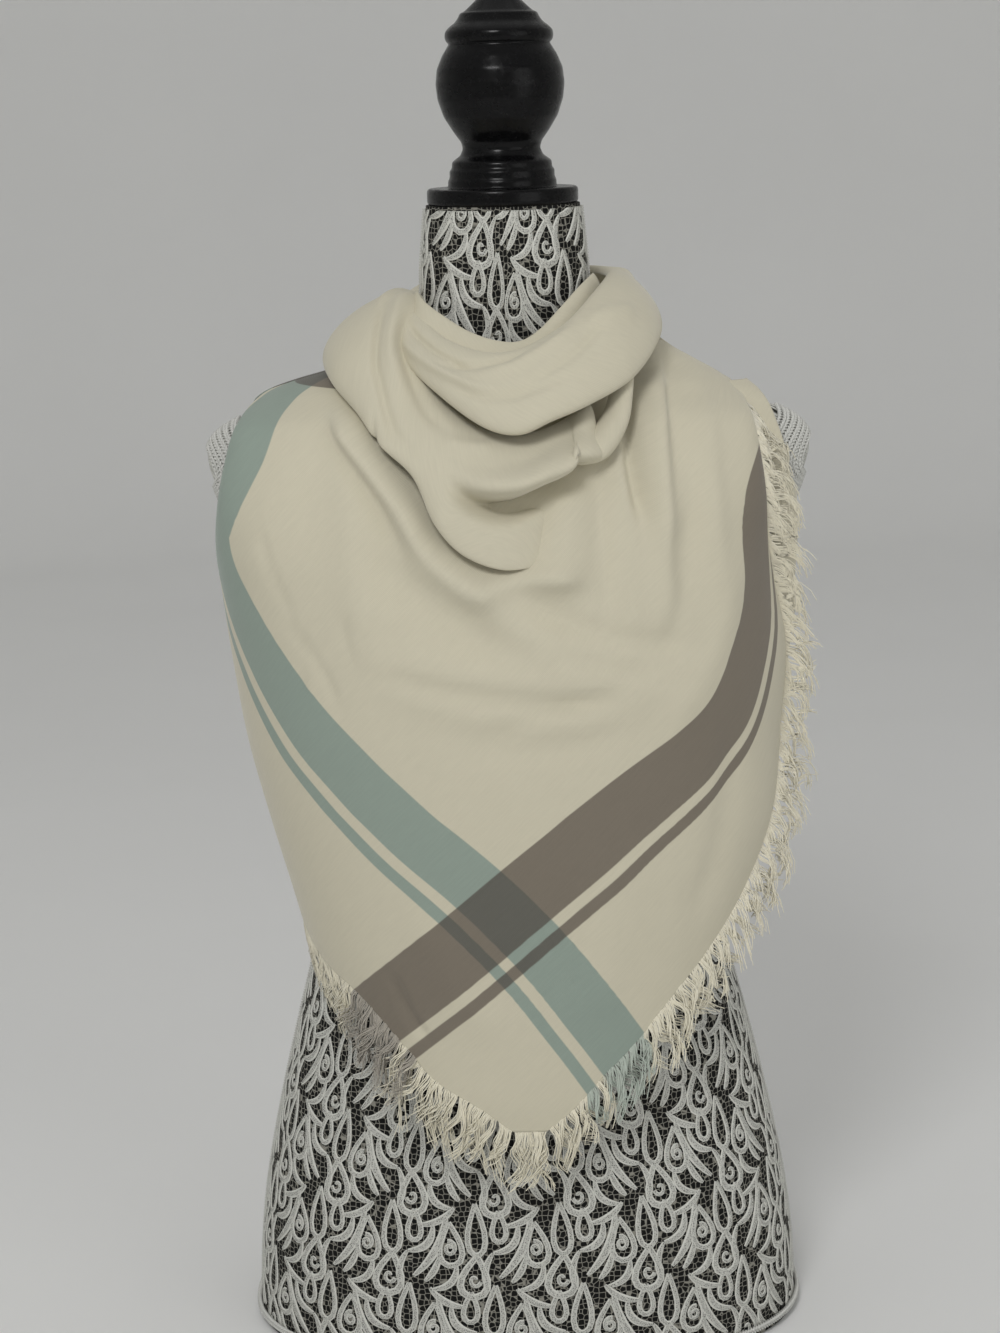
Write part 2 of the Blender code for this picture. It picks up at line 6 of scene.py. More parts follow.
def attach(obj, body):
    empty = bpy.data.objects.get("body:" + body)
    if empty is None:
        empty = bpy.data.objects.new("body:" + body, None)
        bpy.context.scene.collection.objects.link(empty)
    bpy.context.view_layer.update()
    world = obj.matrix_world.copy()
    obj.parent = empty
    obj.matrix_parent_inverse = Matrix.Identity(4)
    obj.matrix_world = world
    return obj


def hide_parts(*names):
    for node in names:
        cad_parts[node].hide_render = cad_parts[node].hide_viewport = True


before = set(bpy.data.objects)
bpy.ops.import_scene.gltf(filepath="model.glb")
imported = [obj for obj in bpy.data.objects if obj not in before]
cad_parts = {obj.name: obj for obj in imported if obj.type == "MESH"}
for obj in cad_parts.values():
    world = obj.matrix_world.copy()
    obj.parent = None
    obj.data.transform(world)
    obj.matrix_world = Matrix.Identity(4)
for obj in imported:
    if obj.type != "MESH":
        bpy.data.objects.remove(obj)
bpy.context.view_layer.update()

bl_info = {
    "name": "Blanket Scarf on a Dress Form",
    "version": (1, 0, 0),
    "blender": (4, 5, 0),
    "location": "3D View > Sidebar > Scarf",
    "description": "Builds a striped square scarf worn round the neck of a "
                   "lace-covered form",
    "category": "Object",
}

MM = 0.001
FORM_TOP = 708              # where the neck ends, in mm
TURNED_SIDES = 96           # points round a turned shape
FRONT_STEPS, BACK_STEPS, UNDER_STEPS = (205, 180), (180, 110), (24, 90)
FRONT_HEART, BACK_HEART = (0, 0, 400), (0, 0, 500)    # inside the drapes, in mm

# ---------------------------------------------------------------- tables of the shapes

FORM_COLUMNS = ("height", "half_width", "half_depth", "centre_y", "power")
FORM_ROWS = (
    (0, 174.0, 114, 4, 2.3),
    (40, 172.0, 114, 4, 2.3),
    (80, 167.5, 112, 4, 2.3),
    (120, 160.0, 108, 3, 2.3),
    (160, 151.0, 102, 1, 2.25),
    (200, 141.0, 95, -2, 2.2),
    (240, 131.0, 89, -4, 2.2),
    (275, 125.0, 88, -6, 2.2),
    (310, 126.0, 92, -8, 2.2),
    (350, 132.0, 101, -10, 2.2),
    (390, 140.0, 110, -12, 2.2),
    (425, 147.0, 113, -11, 2.2),
    (460, 152.0, 108, -9, 2.2),
    (495, 160.0, 94, -5, 2.15),
    (522, 172.0, 78, 0, 2.1),
    (545, 181.0, 64, 2, 2.05),
    (562, 184.0, 55, 4, 2.1),
    (575, 175.0, 50, 5, 2.1),
    (587, 150.0, 47, 6, 2.1),
    (599, 116.0, 46, 6, 2.0),
    (613, 86.0, 46, 5, 2.0),
    (629, 63.0, 46, 4, 2.0),
    (647, 52.0, 46, 3, 2.0),
    (675, 49.5, 46, 2, 2.0),
    (708, 46.5, 46, 2, 2.0),
)

CAP_ROWS = (
    (708.3, 44.5), (709.6, 45.6), (716.6, 45.6), (718.0, 44.6), (718.2, 32.8),
    (722.8, 32.6), (723.6, 31.6), (728.4, 31.6), (729.4, 30.2),
    (733.4, 30.0), (734.6, 28.4), (737.0, 25.0), (741.0, 23.2), (745.0, 24.2),
    (751.0, 28.6), (760.0, 34.2), (770.0, 37.6), (779.0, 38.6), (788.0, 37.6),
    (796.0, 34.2), (801.0, 31.0), (802.6, 30.0), (803.6, 31.6), (806.2, 32.5),
    (809.6, 32.2), (812.0, 30.0), (815.0, 26.0), (818.6, 23.6), (820.2, 23.2),
    (821.0, 20.6), (824.6, 16.6), (829.0, 12.0), (832.0, 6.4), (833.0, 1.0),
)

DRAPE_COLUMNS = ("height", "left_deg", "right_deg", "left_half", "right_half",
                 "centre_y", "front", "back", "power")
FRONT_ROWS = (
    (164, -1.5, 3.5, 118, 118, -20, -127, 84, 2.5),
    (180, -9.0, 10.5, 119, 121, -20, -129, 85, 2.5),
    (198, -22.0, 17.5, 120, 124, -20, -130, 86, 2.5),
    (216, -30.0, 26.0, 122, 128, -20, -131, 88, 2.5),
    (246, -46.0, 39.0, 128, 134, -20, -133, 92, 2.5),
    (264, -66.0, 49.0, 133, 138, -20, -134, 96, 2.5),
    (298, -92.0, 62.0, 142, 150, -18, -136, 100, 2.45),
    (341, -106.0, 72.0, 154, 162, -14, -138, 104, 2.4),
    (390, -120.0, 79.0, 166, 165, -10, -138, 106, 2.4),
    (441, -120.0, 81.0, 173, 168, -16, -136, 106, 2.3),
    (484, -112.0, 83.0, 176, 159, -34, -129, 104, 2.3),
    (512, -95.0, 85.0, 177, 154, -50, -121, 90, 2.3),
    (538, -88.0, 87.0, 174, 152, -62, -110, 60, 2.3),
    (562, -88.0, 88.0, 169, 149, -62, -98, 50, 2.2),
    (584, -88.0, 88.0, 162, 145, -50, -84, 45, 2.1),
    (597, -90.0, 90.0, 150, 139, -6, -75, 40, 2.1),
    (604, -90.0, 90.0, 132, 129, -1.6, -69, 40, 2.1),
    (611, -90.0, 90.0, 106, 117, -0.8, -58, 40, 2.0),
    (619, -90.0, 90.0, 82, 103, -0.5, -53, 40, 2.0),
    (625, -90.0, 90.0, 72, 93, -0.5, -50, 40, 2.0),
)
BACK_ROWS = (
    (392, -267.0, -121.3, 166, 166, -10, -138, 106, 2.4),
    (441, -267.0, -121.3, 173, 172, -12, -136, 106, 2.3),
    (484, -267.0, -113.4, 176, 175, -10, -129, 104, 2.3),
    (512, -267.8, -99.0, 177, 176, 16, -121, 100, 2.3),
    (538, -269.0, -92.0, 172, 172, 46, -110, 94, 2.3),
    (562, -270.0, -90.0, 167, 167, 56, -98, 88, 2.2),
    (584, -270.0, -90.0, 161, 160, 48, -84, 82, 2.1),
    (597, -270.0, -90.0, 150, 139, 6, -75, 76, 2.1),
    (604, -270.0, -90.0, 132, 129, 1.6, -69, 72, 2.1),
    (611, -270.0, -90.0, 106, 117, 0.8, -58, 68, 2.0),
    (619, -270.0, -90.0, 82, 103, 0.5, -53, 64, 2.0),
    (627, -270.0, -90.0, 71, 92, 0.5, -50, 61, 2.0),
)
UNDER_ROWS = (
    (402, 68.0, 92.0, 168, 167, -10, -44, 106, 2.4),
    (441, 68.0, 92.0, 172, 172, -12, -48, 106, 2.3),
    (484, 66.0, 92.0, 174, 175, -12, -50, 104, 2.3),
    (512, 63.0, 90.0, 174, 174, -32, -60, 60, 2.2),
    (538, 58.0, 90.0, 171, 170, -40, -54, 60, 2.2),
    (562, 58.0, 90.0, 167, 166, -37, -47, 60, 2.2),
    (584, 54.0, 90.0, 160, 159, -26, -38, 60, 2.2),
    (594, 58.0, 90.0, 154, 153, -16, -34, 60, 2.2),
    (600, 60.0, 90.0, 145, 146, -4, -28, 60, 2.2),
)

# Creases: a soft ridge (rise above 0) or trough from one end to the other. u and v are
# x and z on a drape, and on a roll its length and the way down from its upper edge, in
# mm. bow bends the line sideways and lean makes one flank steep, as where cloth folds.
CREASE_COLUMNS = ("u0", "v0", "u1", "v1", "bow", "half_width", "rise", "lean")
FRONT_CREASES = (
    (84, 618, 92, 470, 0, 11, 5.0, 0),
    (112, 606, 121, 480, 0, 9, 4.0, 0),
    (62, 580, 66, 470, 0, 10, 3.0, 0),
    (-120, 596, -150, 500, 0, 14, 3.0, 0),
    (-96, 590, -86, 470, 0, 14, 4.0, 0),
    (-62, 520, 40, 448, 0, 13, 5.0, 0),
    (-70, 452, 78, 430, 0, 12, 3.5, 0),
    # the second layer and the lip outside the cowl's edge, and the trough under them
    (-94, 590, -52, 528, 0, 8.5, 13.0, 0),
    (-106, 584, -66, 522, -2, 5, -2.5, 0),
    (-56, 530, -12, 490, 4, 8, 6.0, 0.3),
    (-20, 496, 34, 502, -3, 8, 5.5, 0.2),
    (-78, 512, -8, 460, 3, 14, -4.0, 0),
    # upright folds at the right
    (68, 604, 76, 536, 1, 4.5, -8.0, 0.3),
    (83, 610, 90, 520, 1, 9, 6.0, 0),
    (31, 550, 24, 496, 0, 17, 9.0, 0),
    (54, 560, 60, 480, 1, 9, -3.0, 0),
    (96, 612, 95, 505, 2, 6, -3.5, 0.3),
    (103, 535, 90, 458, -3, 8, -3.5, 0),
    (134, 505, 92, 412, -6, 10, 3.0, 0),
    (56, 545, 60, 488, 0, 5, 2.0, 0),
    # sharper creases under the bust, with a soft ridge below the long one
    (-66, 445, 54, 430, 4, 6, -3.2, 0.5),
    (-60, 434, 48, 418, 4, 9, 2.6, 0),
    (15, 484, 100, 460, 5, 7, -3.2, 0.4),
    (26, 459, 76, 446, 2, 4, -2.2, 0.5),
    (-14, 412, 62, 436, -3, 4.5, -2.6, 0.5),
    (-20, 402, 60, 410, 3, 7, -1.6, 0),
    # fine wrinkles at the left and near the tuck
    (-143, 524, -130, 482, 2, 3, -1.4, 0.4),
    (-129, 470, -104, 430, -3, 3, -1.5, 0.4),
    (-110, 452, -120, 436, 3, 3, 1.2, 0),
    (-98, 478, -92, 452, 1, 3, -1.0, 0.3),
    (56, 566, 78, 560, 1, 2.5, -1.2, 0.3),
    (58, 556, 77, 551, -1, 2.5, -1.0, 0.3),
    # where the brown band bends over a fold near the edge
    (-76, 262, -58, 226, 2, 4, -2.2, 0.4),
    (-60, 300, -20, 230, 4, 14, 2.0, 0),
    (60, 330, 40, 240, -4, 16, 2.0, 0),
    (128, 400, 108, 300, -6, 9, -2.5, 0.2),
)
BACK_CREASES = (
    (-96, 600, -60, 450, 10, 12, 4.0, 0),
    (-40, 610, -20, 430, 6, 14, -3.5, 0.2),
    (30, 606, 16, 440, -6, 11, 3.5, 0),
    (84, 600, 60, 430, -8, 13, -4.0, 0.2),
    (-130, 540, -90, 420, 6, 10, -2.5, 0),
    (128, 560, 110, 430, -4, 10, 3.0, 0),
    (-60, 520, 70, 500, 10, 9, -2.0, 0.3),
)

# Cowl stretches: a row a section, upper edge a, lower edge b. bulge and lobe are how
# far the cloth swells above and below its pocket, lip how far the fold over the pocket
# stands out, valley the pocket's depth and pocket its place from edge a to edge b.
COWL_HEART = (0, 0, 560)
POCKET_WIDTH = 0.080
LIP_ABOVE = 0.14           # where the lip lies above its pocket, as the same share
LIP_WIDTH = 0.10
LIP_HANG = 0.55            # how far the lip sinks for each mm that it stands out
POCKET_RISE = 0.40         # how far the pocket climbs for each mm of its depth
SWELL_CHANGE = 0.05         # how sharply bulge gives way to lobe at the pocket
COWL_COLUMNS = ("ax", "ay", "az", "bx", "by", "bz", "bulge", "lobe", "lip", "valley",
                "pocket")


def even_rolls(*rows):
    """Sections with no pocket, each with one swell for bulge and lobe."""
    return tuple((*row, row[-1], 0, 0, 0.6) for row in rows)


TOP_ROLL_ROWS = even_rolls(
    (-53, 4, 650, -64, 0, 642, 4),
    (-51, -27, 648, -63, -38, 637, 4),
    (-46, -46, 641, -61, -62, 622, 6),
    (-33, -64, 632, -39, -92, 603, 8),
    (-13, -77, 626, -15, -115, 588, 9),
    (6, -80, 627, 5, -122, 584, 10),
    (23, -76, 634, 24, -120, 591, 10),
    (37, -66, 643, 47, -110, 599, 10),
    (51, -45, 656, 73, -88, 611, 10),
    (61, -12, 664, 90, -47, 628, 9),
    (63, 25, 665, 92, 10, 634, 9),
    (52, 56, 665, 80, 72, 632, 9),
    (24, 72, 664, 38, 98, 632, 9),
    (-10, 74, 663, -14, 100, 632, 8),
    (-38, 58, 660, -56, 80, 634, 7),
    (-51, 32, 656, -66, 42, 641, 5),
)
INNER_COLLAR_ROWS = even_rolls(
    (-52.5, -14, 658, -58, -20, 642, 2.0),
    (-50, -28, 655, -57, -37, 638, 2.0),
    (-45, -38, 651, -52, -50, 634, 2.5),
    (-36, -47, 645, -41, -60, 629, 2.5),
    (-22, -57, 637, -24, -71, 622, 2.5),
    (-7, -63, 632, -7, -77, 617, 2.5),
    (7, -64, 631, 8, -78, 616, 2.5),
    (19, -60, 637, 21, -73, 621, 2.5),
    (32, -50, 649, 36, -62, 633, 2.5),
    (44, -33, 660, 49, -42, 645, 2.5),
    (53, -10, 666, 59, -14, 651, 2.0),
)
RIGHT_TUCK_ROWS = even_rolls(
    (63, -72, 615, 74, -78, 618, 3),
    (60, -79, 604, 72, -88, 602, 5),
    (57, -84, 593, 69, -96, 587, 6),
    (52, -89, 585, 62, -103, 574, 7),
    (46, -93, 580, 54, -108, 567, 7),
    (38, -95, 579, 43, -108, 564, 6),
    (30, -94, 578, 32, -104, 564, 4),
)
COWL_DRAPE_ROWS = (
    (-50, 42, 648, -98, 44, 614, 14, 14, 0, 0, 0.75),
    (-48, 2, 652, -110, -2, 615, 17, 17, 0, 0, 0.75),
    (-49, -26, 648, -104, -52, 608, 15, 15, 0, 0, 0.75),
    (-54, -52, 630, -88, -82, 593, 11, 11, 0, 0, 0.75),
    (-40, -73, 603, -75, -101, 577, 8, 8, 0, 0, 0.74),
    (-27, -86, 590, -56, -115, 560, 9, 9, 0, 0, 0.72),
    (-16, -94, 584, -44, -127, 534, 11, 11, 1, 2, 0.68),
    (-4, -98, 581, -29, -131, 517, 14, 9, 7, 16, 0.62),
    (9, -98, 581, -8, -133, 508, 15, 7, 12, 32, 0.565),
    (22, -95, 584, 12, -128, 508, 16, 3, 14, 32, 0.49),
    (34, -91, 589, 27, -118, 513, 15, -2, 13, 28, 0.45),
    (45, -92, 597, 34, -106, 526, 10, -3, 8, 18, 0.50),
    (45, -83, 594, 32, -94, 532, 5, -2, 4, 8, 0.50),
)
TOP_ROLL_CREASES = (
    (52, 16, 118, 26, 0, 2.6, -2.6, 0),
    (60, 26, 128, 40, 0, 3.5, 3.0, 0),
    (96, 30, 150, 16, 0, 3.0, -2.2, 0),
    (110, 42, 176, 50, 0, 3.5, -2.4, 0),
    (128, 28, 190, 18, 0, 5, 2.4, 0),
    (150, 44, 214, 32, 0, 4, -2.0, 0),
    (205, 22, 250, 40, 0, 6, 2.6, 0),
    (330, 16, 400, 34, 0, 7, 3.2, 0),
    (390, 30, 450, 14, 0, 6, -2.8, 0),
    (450, 26, 520, 36, 0, 6, 3.0, 0),
)
COWL_DRAPE_CREASES = (
    (62, 18, 150, 30, 0, 6, 3.2, 0),
    (80, 34, 176, 48, 0, 4, -3.0, 0),
    (110, 14, 190, 24, 0, 5, -2.4, 0),
    (150, 56, 196, 84, 0, 2.6, -2.4, 0),
    (168, 78, 214, 96, 0, 4, 2.4, 0),
    (196, 30, 232, 20, 0, 5, 1.8, 0),
    (20, 20, 70, 34, 0, 6, 2.4, 0),
)

# Border stripes: the inner edge of each wide band as places on the unrolled cloth, in
# mm along the cloth from the centre front (around) and up the side of the form (up).
# share is how much of the band's true width shows, under 1 where a fold takes it up.
BAND_COLUMNS = ("around", "up", "share")
TEAL_BAND = (
    (-92, 540, 1), (-114, 490, 1), (-129, 452, 1), (-141, 414, 1), (-154, 391, 1),
    (-168, 369, 1), (-172, 360, 1), (-166, 339, 1), (-148, 308, 1), (-118, 272, 1),
    (-88, 243, 1), (-51, 208, 1), (-11, 172, 1), (28, 128, 1), (59, 84, 1),
    (80, 52, 1), (120, -10, 1),
)
BROWN_BAND = (
    (214, 440, 1), (166, 421, 1), (146, 400, 0.9), (139, 372, 0.8), (141, 324, 0.82),
    (133, 298, 0.84), (119, 270, 0.86), (94, 250, 0.9), (48, 220, 0.96),
    (-11, 172, 1), (-48, 139, 1), (-86, 106, 1), (-140, 60, 1),
)
SHOULDER_BAND = ((-40, 458, 1), (-110, 465, 1), (-170, 468, 1), (-240, 470, 1))
SHOULDER_START = 432       # above this, the left shoulder's own brown band counts
BACK_TEAL_BAND = (
    (-40, 560, 1), (-36, 480, 1), (-34, 430, 1), (-42, 390, 1), (-66, 358, 1),
    (-110, 342, 1), (-200, 338, 1), (-300, 342, 1), (-380, 350, 1), (-460, 352, 1),
)
BACK_SHOULDER_BAND = (
    (60, 452, 1), (0, 452, 1), (-60, 458, 1), (-120, 486, 1), (-160, 540, 1),
)

# Fringe: the piece and the solid that it replaces, where it starts and ends as shares of
# the cloth's edge, how far apart its yarns are, their longest and shortest in mm, how
# strongly they turn down and curl, and 1 where they hug the side of the form.
FRINGE_COLUMNS = ("name", "replaced", "first", "last", "pitch", "longest", "shortest",
                  "hang", "curl", "hug")
FRINGE_LEFT = ("fringe_front_left", "fringe_left", 0.004, 0.47, 0.4, 34, 17,
               0.6, 0.2, 1)
FRINGE_RIGHT = ("fringe_front_right", "fringe_right", 0.004, 0.86, 0.42, 27, 13,
                0.9, 0.26, 0)
FRINGE_BACK = ("fringe_across_back", "fringe_back", 0.01, 0.99, 0.8, 33, 16,
               0.6, 0.14, 0)
FRINGE_CORNER = ("fringe_at_corner", "", 0.0, 1.0, 0.3, 34, 18, 0.5, 0.2, 0)
YARNS_IN_TUFT = 8.5
YARN_STEPS = 10            # points along a yarn
YARN_RADIUS = 0.5
YARN_LEAN, YARN_LEAN_BELOW, YARN_HUG = 0.22, 0.9, -0.12    # outwards, as slopes
YARN_FALL = 0.22           # how much a yarn bends down towards its tip

# Lace: one motif's strokes, in mm on a tile. A drop is a closed pointed loop, a scroll
# winds inwards, and a leaf bends from its start to its end.
TILE = (52.0, 52.0)
DROP_COLUMNS = ("x", "y", "length", "width", "lean_deg", "half_width")
DROPS = (
    (-18.0, 31.5, 28, 15.5, 5, 1.5),
    (19.0, 11.0, 27, 18.0, -6, 1.9),
    (4.5, 43.0, 20, 9.5, 2, 1.3),
    (18.5, 41.0, 33, 12.0, 3, 1.4),
)
SCROLL_COLUMNS = ("x", "y", "radius", "turns", "start_deg", "half_width")
SCROLLS = (
    (-17.6, 28.6, 4.0, 1.3, 70, 1.0),
    (19.0, 8.6, 3.8, 0.9, 190, 0.9),
)
LEAF_COLUMNS = ("x0", "y0", "x1", "y1", "bow", "half_width")
LEAVES = (
    (-15.0, 50.0, 4.0, 10.0, -4.5, 2.3),
    (-11.5, 23.0, -3.0, 7.0, -1.5, 1.8),
    (-22.0, 18.0, -8.0, 2.0, -5.0, 1.9),
    (-7.0, 43.0, 8.0, 26.0, -5.5, 2.1),
    (-6.0, 3.0, -27.0, -9.0, 3.0, 1.9),
    (8.0, 26.0, 10.5, 1.0, 3.5, 1.7),
)
STROKE_STEPS = 16          # places along a stroke
STROKE_EXTRA = 0.45        # what each half width gains from the cord on its edge
CORD_ACROSS = np.array([-1.0, -0.62, 0.0, 0.62, 1.0])    # a stroke's section: places
CORD_LIFT = np.array([0.15, 0.75, 0.4, 0.75, 0.15])      # and heights, in mm

# Arm caps: the oval of the seam round each, seen from the side
ARM_HEIGHT, ARM_HALF_HEIGHT = 553, 28
ARM_SHARE, ARM_DEPTH = 0.62, 84     # half its depth as a share of the form's, and in mm

# Trims: the number of strands in each kind of cord, how far they swing and their radius
# in mm, and each seam cord's share of the way round and its lower and upper end
GIMP_PLY, PLAIT_PLY, SEAM_PLY = (2, 0.75, 0.95), (3, 1.5, 0.95), (2, 0.55, 0.7)
GIMP_PITCH_SHARE = 0.75    # a gimp cord's pitch as a share of the plait's
SEAM_PITCH = 3.4
SEAM_CORDS = (("seam_cord_right", 0.0, 9, 300), ("seam_cord_left", 0.5, 9, 300),
              ("seam_cord_neck_right", 0.0, 622, 706),
              ("seam_cord_neck_left", 0.5, 622, 706))

# Where the scarf hides the lace: above these heights at the front and the back, which
# part at y, and on the shoulders nearer the middle than x
LACE_FRONT_TOP, LACE_BACK_TOP, LACE_PART_Y, LACE_SHOULDER_X = 310, 420, -50, 128

# Studio: the paper's flat radius, the bend's radius and its top, in metres; then each
# light's name, place and size in metres, and power in watts
SWEEP_FLAT, SWEEP_BEND, SWEEP_TOP = 2.9, 0.6, 3.2
FLOOR_GAP = 0.0005         # how far the paper lies under the form
SKY_COLOUR, SKY_STRENGTH = "#E4E4E2", 0.54
LIGHTS = (("key", (-0.45, -1.9, 1.95), 0.7, 20),
          ("fill", (1.6, -1.8, 0.9), 1.6, 6),
          ("top", (0.0, 0.3, 2.6), 1.8, 2))
LIGHTS_AIM = (0, 0, 0.45)
CAMERA_PLACE = (-0.0085, -1.65, 0.7794)
CAMERA_LENS = 72.9
CAMERA_TILT_DEG, CAMERA_ROLL_DEG = 12.2, 1.4


# ------------------------------------------------------------------- small functions

def linear(hex_text):
    """An sRGB hex colour as linear red, green and blue."""
    values = [int(hex_text[k:k + 2], 16) / 255 for k in (1, 3, 5)]
    return tuple(v / 12.92 if v <= 0.04045 else ((v + 0.055) / 1.055) ** 2.4
                 for v in values)


def named(columns, table):
    """A table's columns by name."""
    return {name: table[:, index] for index, name in enumerate(columns)}


def signed_power(value, power):
    """The power of a number's size with the number's own sign."""
    return np.sign(value) * np.abs(value) ** power


def smooth_rows(rows, at, closed=False):
    """Catmull-Rom values of a table's rows at places counted in rows: a cubic through
    the four rows round each place, which meets every row and is smooth across it."""
    rows = np.asarray(rows, float)
    count = len(rows)
    start = np.floor(at).astype(int)
    if not closed:
        start = np.clip(start, 0, count - 2)
    part = (at - start)[:, None]

    def row(index):
        if closed:
            return rows[index % count]
        inside = rows[np.clip(index, 0, count - 1)]
        inside = np.where((index < 0)[:, None], 2 * rows[0] - rows[1], inside)
        return np.where((index > count - 1)[:, None], 2 * rows[-1] - rows[-2], inside)

    a, b, c, d = row(start - 1), row(start), row(start + 1), row(start + 2)
    return 0.5 * (2 * b + (c - a) * part + (2 * a - 5 * b + 4 * c - d) * part ** 2
                  + (3 * b - a - 3 * c + d) * part ** 3)


def unit(vectors):
    """Vectors divided by their own length."""
    return vectors / np.maximum(np.linalg.norm(vectors, axis=-1, keepdims=True), 1e-12)


def square_to(vectors, way):
    """Unit vectors without what lies along a unit way."""
    return unit(vectors - (vectors * way).sum(axis=1)[:, None] * way)


def steps_along(points, closed=False):
    """The way from each point's neighbour before it to the one after it."""
    if closed:
        return np.roll(points, -1, axis=0) - np.roll(points, 1, axis=0)
    return np.gradient(points, axis=0)


def arc_lengths(points, axis=0):
    """Lengths from the first point on, along a path or one axis of a grid."""
    step = np.linalg.norm(np.diff(points, axis=axis), axis=-1)
    return np.cumsum(np.insert(step, 0, 0, axis=axis), axis=axis)


def columns_at(marks, run, table):
    """A table's columns at marks, where run holds the place of each of its rows."""
    return np.stack([np.interp(marks, run, column) for column in table.T], axis=1)


def turned_points(radius, height):
    """A profile turned round the z axis."""
    turn = np.linspace(0, 2 * np.pi, TURNED_SIDES, endpoint=False)
    return np.stack([radius[:, None] * np.cos(turn), radius[:, None] * np.sin(turn),
                     height[:, None] + 0 * turn], axis=2)


def surface_normals(grid, closed=False):
    """Unit normals of a grid of points: the cross product of its two ways."""
    return unit(np.cross(steps_along(grid, closed), np.gradient(grid, axis=1)))


def outward_normals(grid, heart, closed=False):
    """Those normals turned so that on the whole they point away from heart."""
    normal = surface_normals(grid, closed)
    return normal * np.sign((normal * (grid - np.asarray(heart))).sum())


def grid_quads(rows, columns, row_loop=False, column_loop=False):
    """Corner numbers of the squares between neighbouring points of a grid."""
    r = np.arange(rows if row_loop else rows - 1)[:, None]
    c = np.arange(columns if column_loop else columns - 1)[None, :]
    r2, c2 = (r + 1) % rows, (c + 1) % columns
    corners = [r * columns + c, r2 * columns + c, r2 * columns + c2, r * columns + c2]
    return np.stack([np.broadcast_to(k, (r.shape[0], c.shape[1])) for k in corners],
                    axis=-1).reshape(-1, 4)


def repeated(quads, size, count):
    """One part's squares for each of count parts that have size points."""
    return (quads[None] + size * np.arange(count)[:, None, None]).reshape(-1, 4)


def add_mesh(name, points, faces, material, smooth=True):
    """A mesh object from points in metres, linked to the scene."""
    mesh = bpy.data.meshes.new(name)
    mesh.from_pydata(points.reshape(-1, 3).tolist(), [], faces)
    mesh.materials.append(bpy.data.materials[material])
    mesh.polygons.foreach_set("use_smooth", np.full(len(mesh.polygons), smooth))
    mesh.update()
    made = bpy.data.objects.new(name, mesh)
    bpy.context.scene.collection.objects.link(made)
    return made


def make_piece(name, points, quads, material, maps=None, replaces=()):
    """A visible piece from points in mm. maps holds UV values for each corner."""
    piece = add_mesh(name, points * MM, quads.tolist(), material)
    for label, values in (maps or {}).items():
        layer = piece.data.uv_layers.new(name=label)
        layer.data.foreach_set("uv", np.asarray(values, np.float32).ravel())
    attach(piece, "root")
    if replaces:
        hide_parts(*replaces)
    return piece


# --------------------------------------------------------------------- cloth surfaces

def crease_rise(u, v, creases, full=0.35, fade=0.22):
    """Outward lift in mm at places on the cloth in mm.

    Each crease is a bell across its line, exp(-(distance / half width) squared). Past
    full of its length to each side of its middle it dies away over the share fade. lean
    adds the bell's slope, so one flank falls steeply."""
    rise = np.zeros_like(u)
    for values in creases:
        crease = dict(zip(CREASE_COLUMNS, values))
        across, down = crease["u1"] - crease["u0"], crease["v1"] - crease["v0"]
        length = np.hypot(across, down)
        du, dv = u - crease["u0"], v - crease["v0"]
        along = (du * across + dv * down) / length ** 2
        off = (du * down - dv * across) / length
        off = off - crease["bow"] * 4 * np.clip(along, 0, 1) * (1 - np.clip(along, 0, 1))
        past = np.clip(np.abs(along - 0.5) - full, 0, None)
        share = off / crease["half_width"]
        bell = np.exp(-share ** 2) * np.exp(-(past / fade) ** 2)
        rise += crease["rise"] * bell * (1 + crease["lean"] * share)
    return rise


def drape_surface(rows, along, down, creases=()):
    """Cloth wrapped round the form: at each height an arc of a rounded oval.

    x is half width times the signed power of the angle's sine, and y runs from the
    centre to the front or back with the power of its cosine. Creases lift it out."""
    row = named(DRAPE_COLUMNS, smooth_rows(rows, down)[:, :, None])
    turn = row["right_deg"] - row["left_deg"]
    angle = np.radians(row["left_deg"] + turn * along)
    sine, cosine = np.sin(angle), np.cos(angle)
    bend = 2 / row["power"]
    half = np.where(sine < 0, row["left_half"], row["right_half"])
    x = half * signed_power(sine, bend)
    ahead = (row["centre_y"] - row["front"]) * np.clip(cosine, 0, 1) ** bend
    behind = (row["back"] - row["centre_y"]) * np.clip(-cosine, 0, 1) ** bend
    y = row["centre_y"] - ahead + behind
    z = row["height"] + 0 * x
    if creases:
        facing = np.abs(cosine) ** 0.3
        rise = crease_rise(x, z, creases) * facing
        x, y = x + rise * sine, y - rise * cosine
    return np.stack([x, y, z], axis=2)


def drape_grid(rows, steps, creases=()):
    """A drape's fine grid, where each of its points lies on the unrolled cloth in mm,
    and the arc lengths along its rows.

    A place is the arc length along its height from the point that faces the front
    (around), and the side profile's length from the lowest row (up)."""
    along, down = np.linspace(0, 1, steps[0]), np.linspace(0, len(rows) - 1, steps[1])
    row = named(DRAPE_COLUMNS, smooth_rows(rows, down))
    run = arc_lengths(drape_surface(rows, along, down), 1)
    front = -row["left_deg"] / (row["right_deg"] - row["left_deg"])
    start = np.array([np.interp(f, along, r) for f, r in zip(front, run)])
    places = np.stack([run - start[:, None], profile_up(row["height"])[:, None] + 0 * run],
                      axis=2)
    return drape_surface(rows, along, down, creases), places, run


def profile_up(height):
    """Length in mm of the drape's side profile from its lowest row to a height."""
    fine = smooth_rows(FRONT_ROWS, np.linspace(0, len(FRONT_ROWS) - 1, 400))
    row = named(DRAPE_COLUMNS, fine)
    run = arc_lengths(np.stack([row["height"], row["left_half"]], axis=1))
    return np.interp(height, row["height"], run)


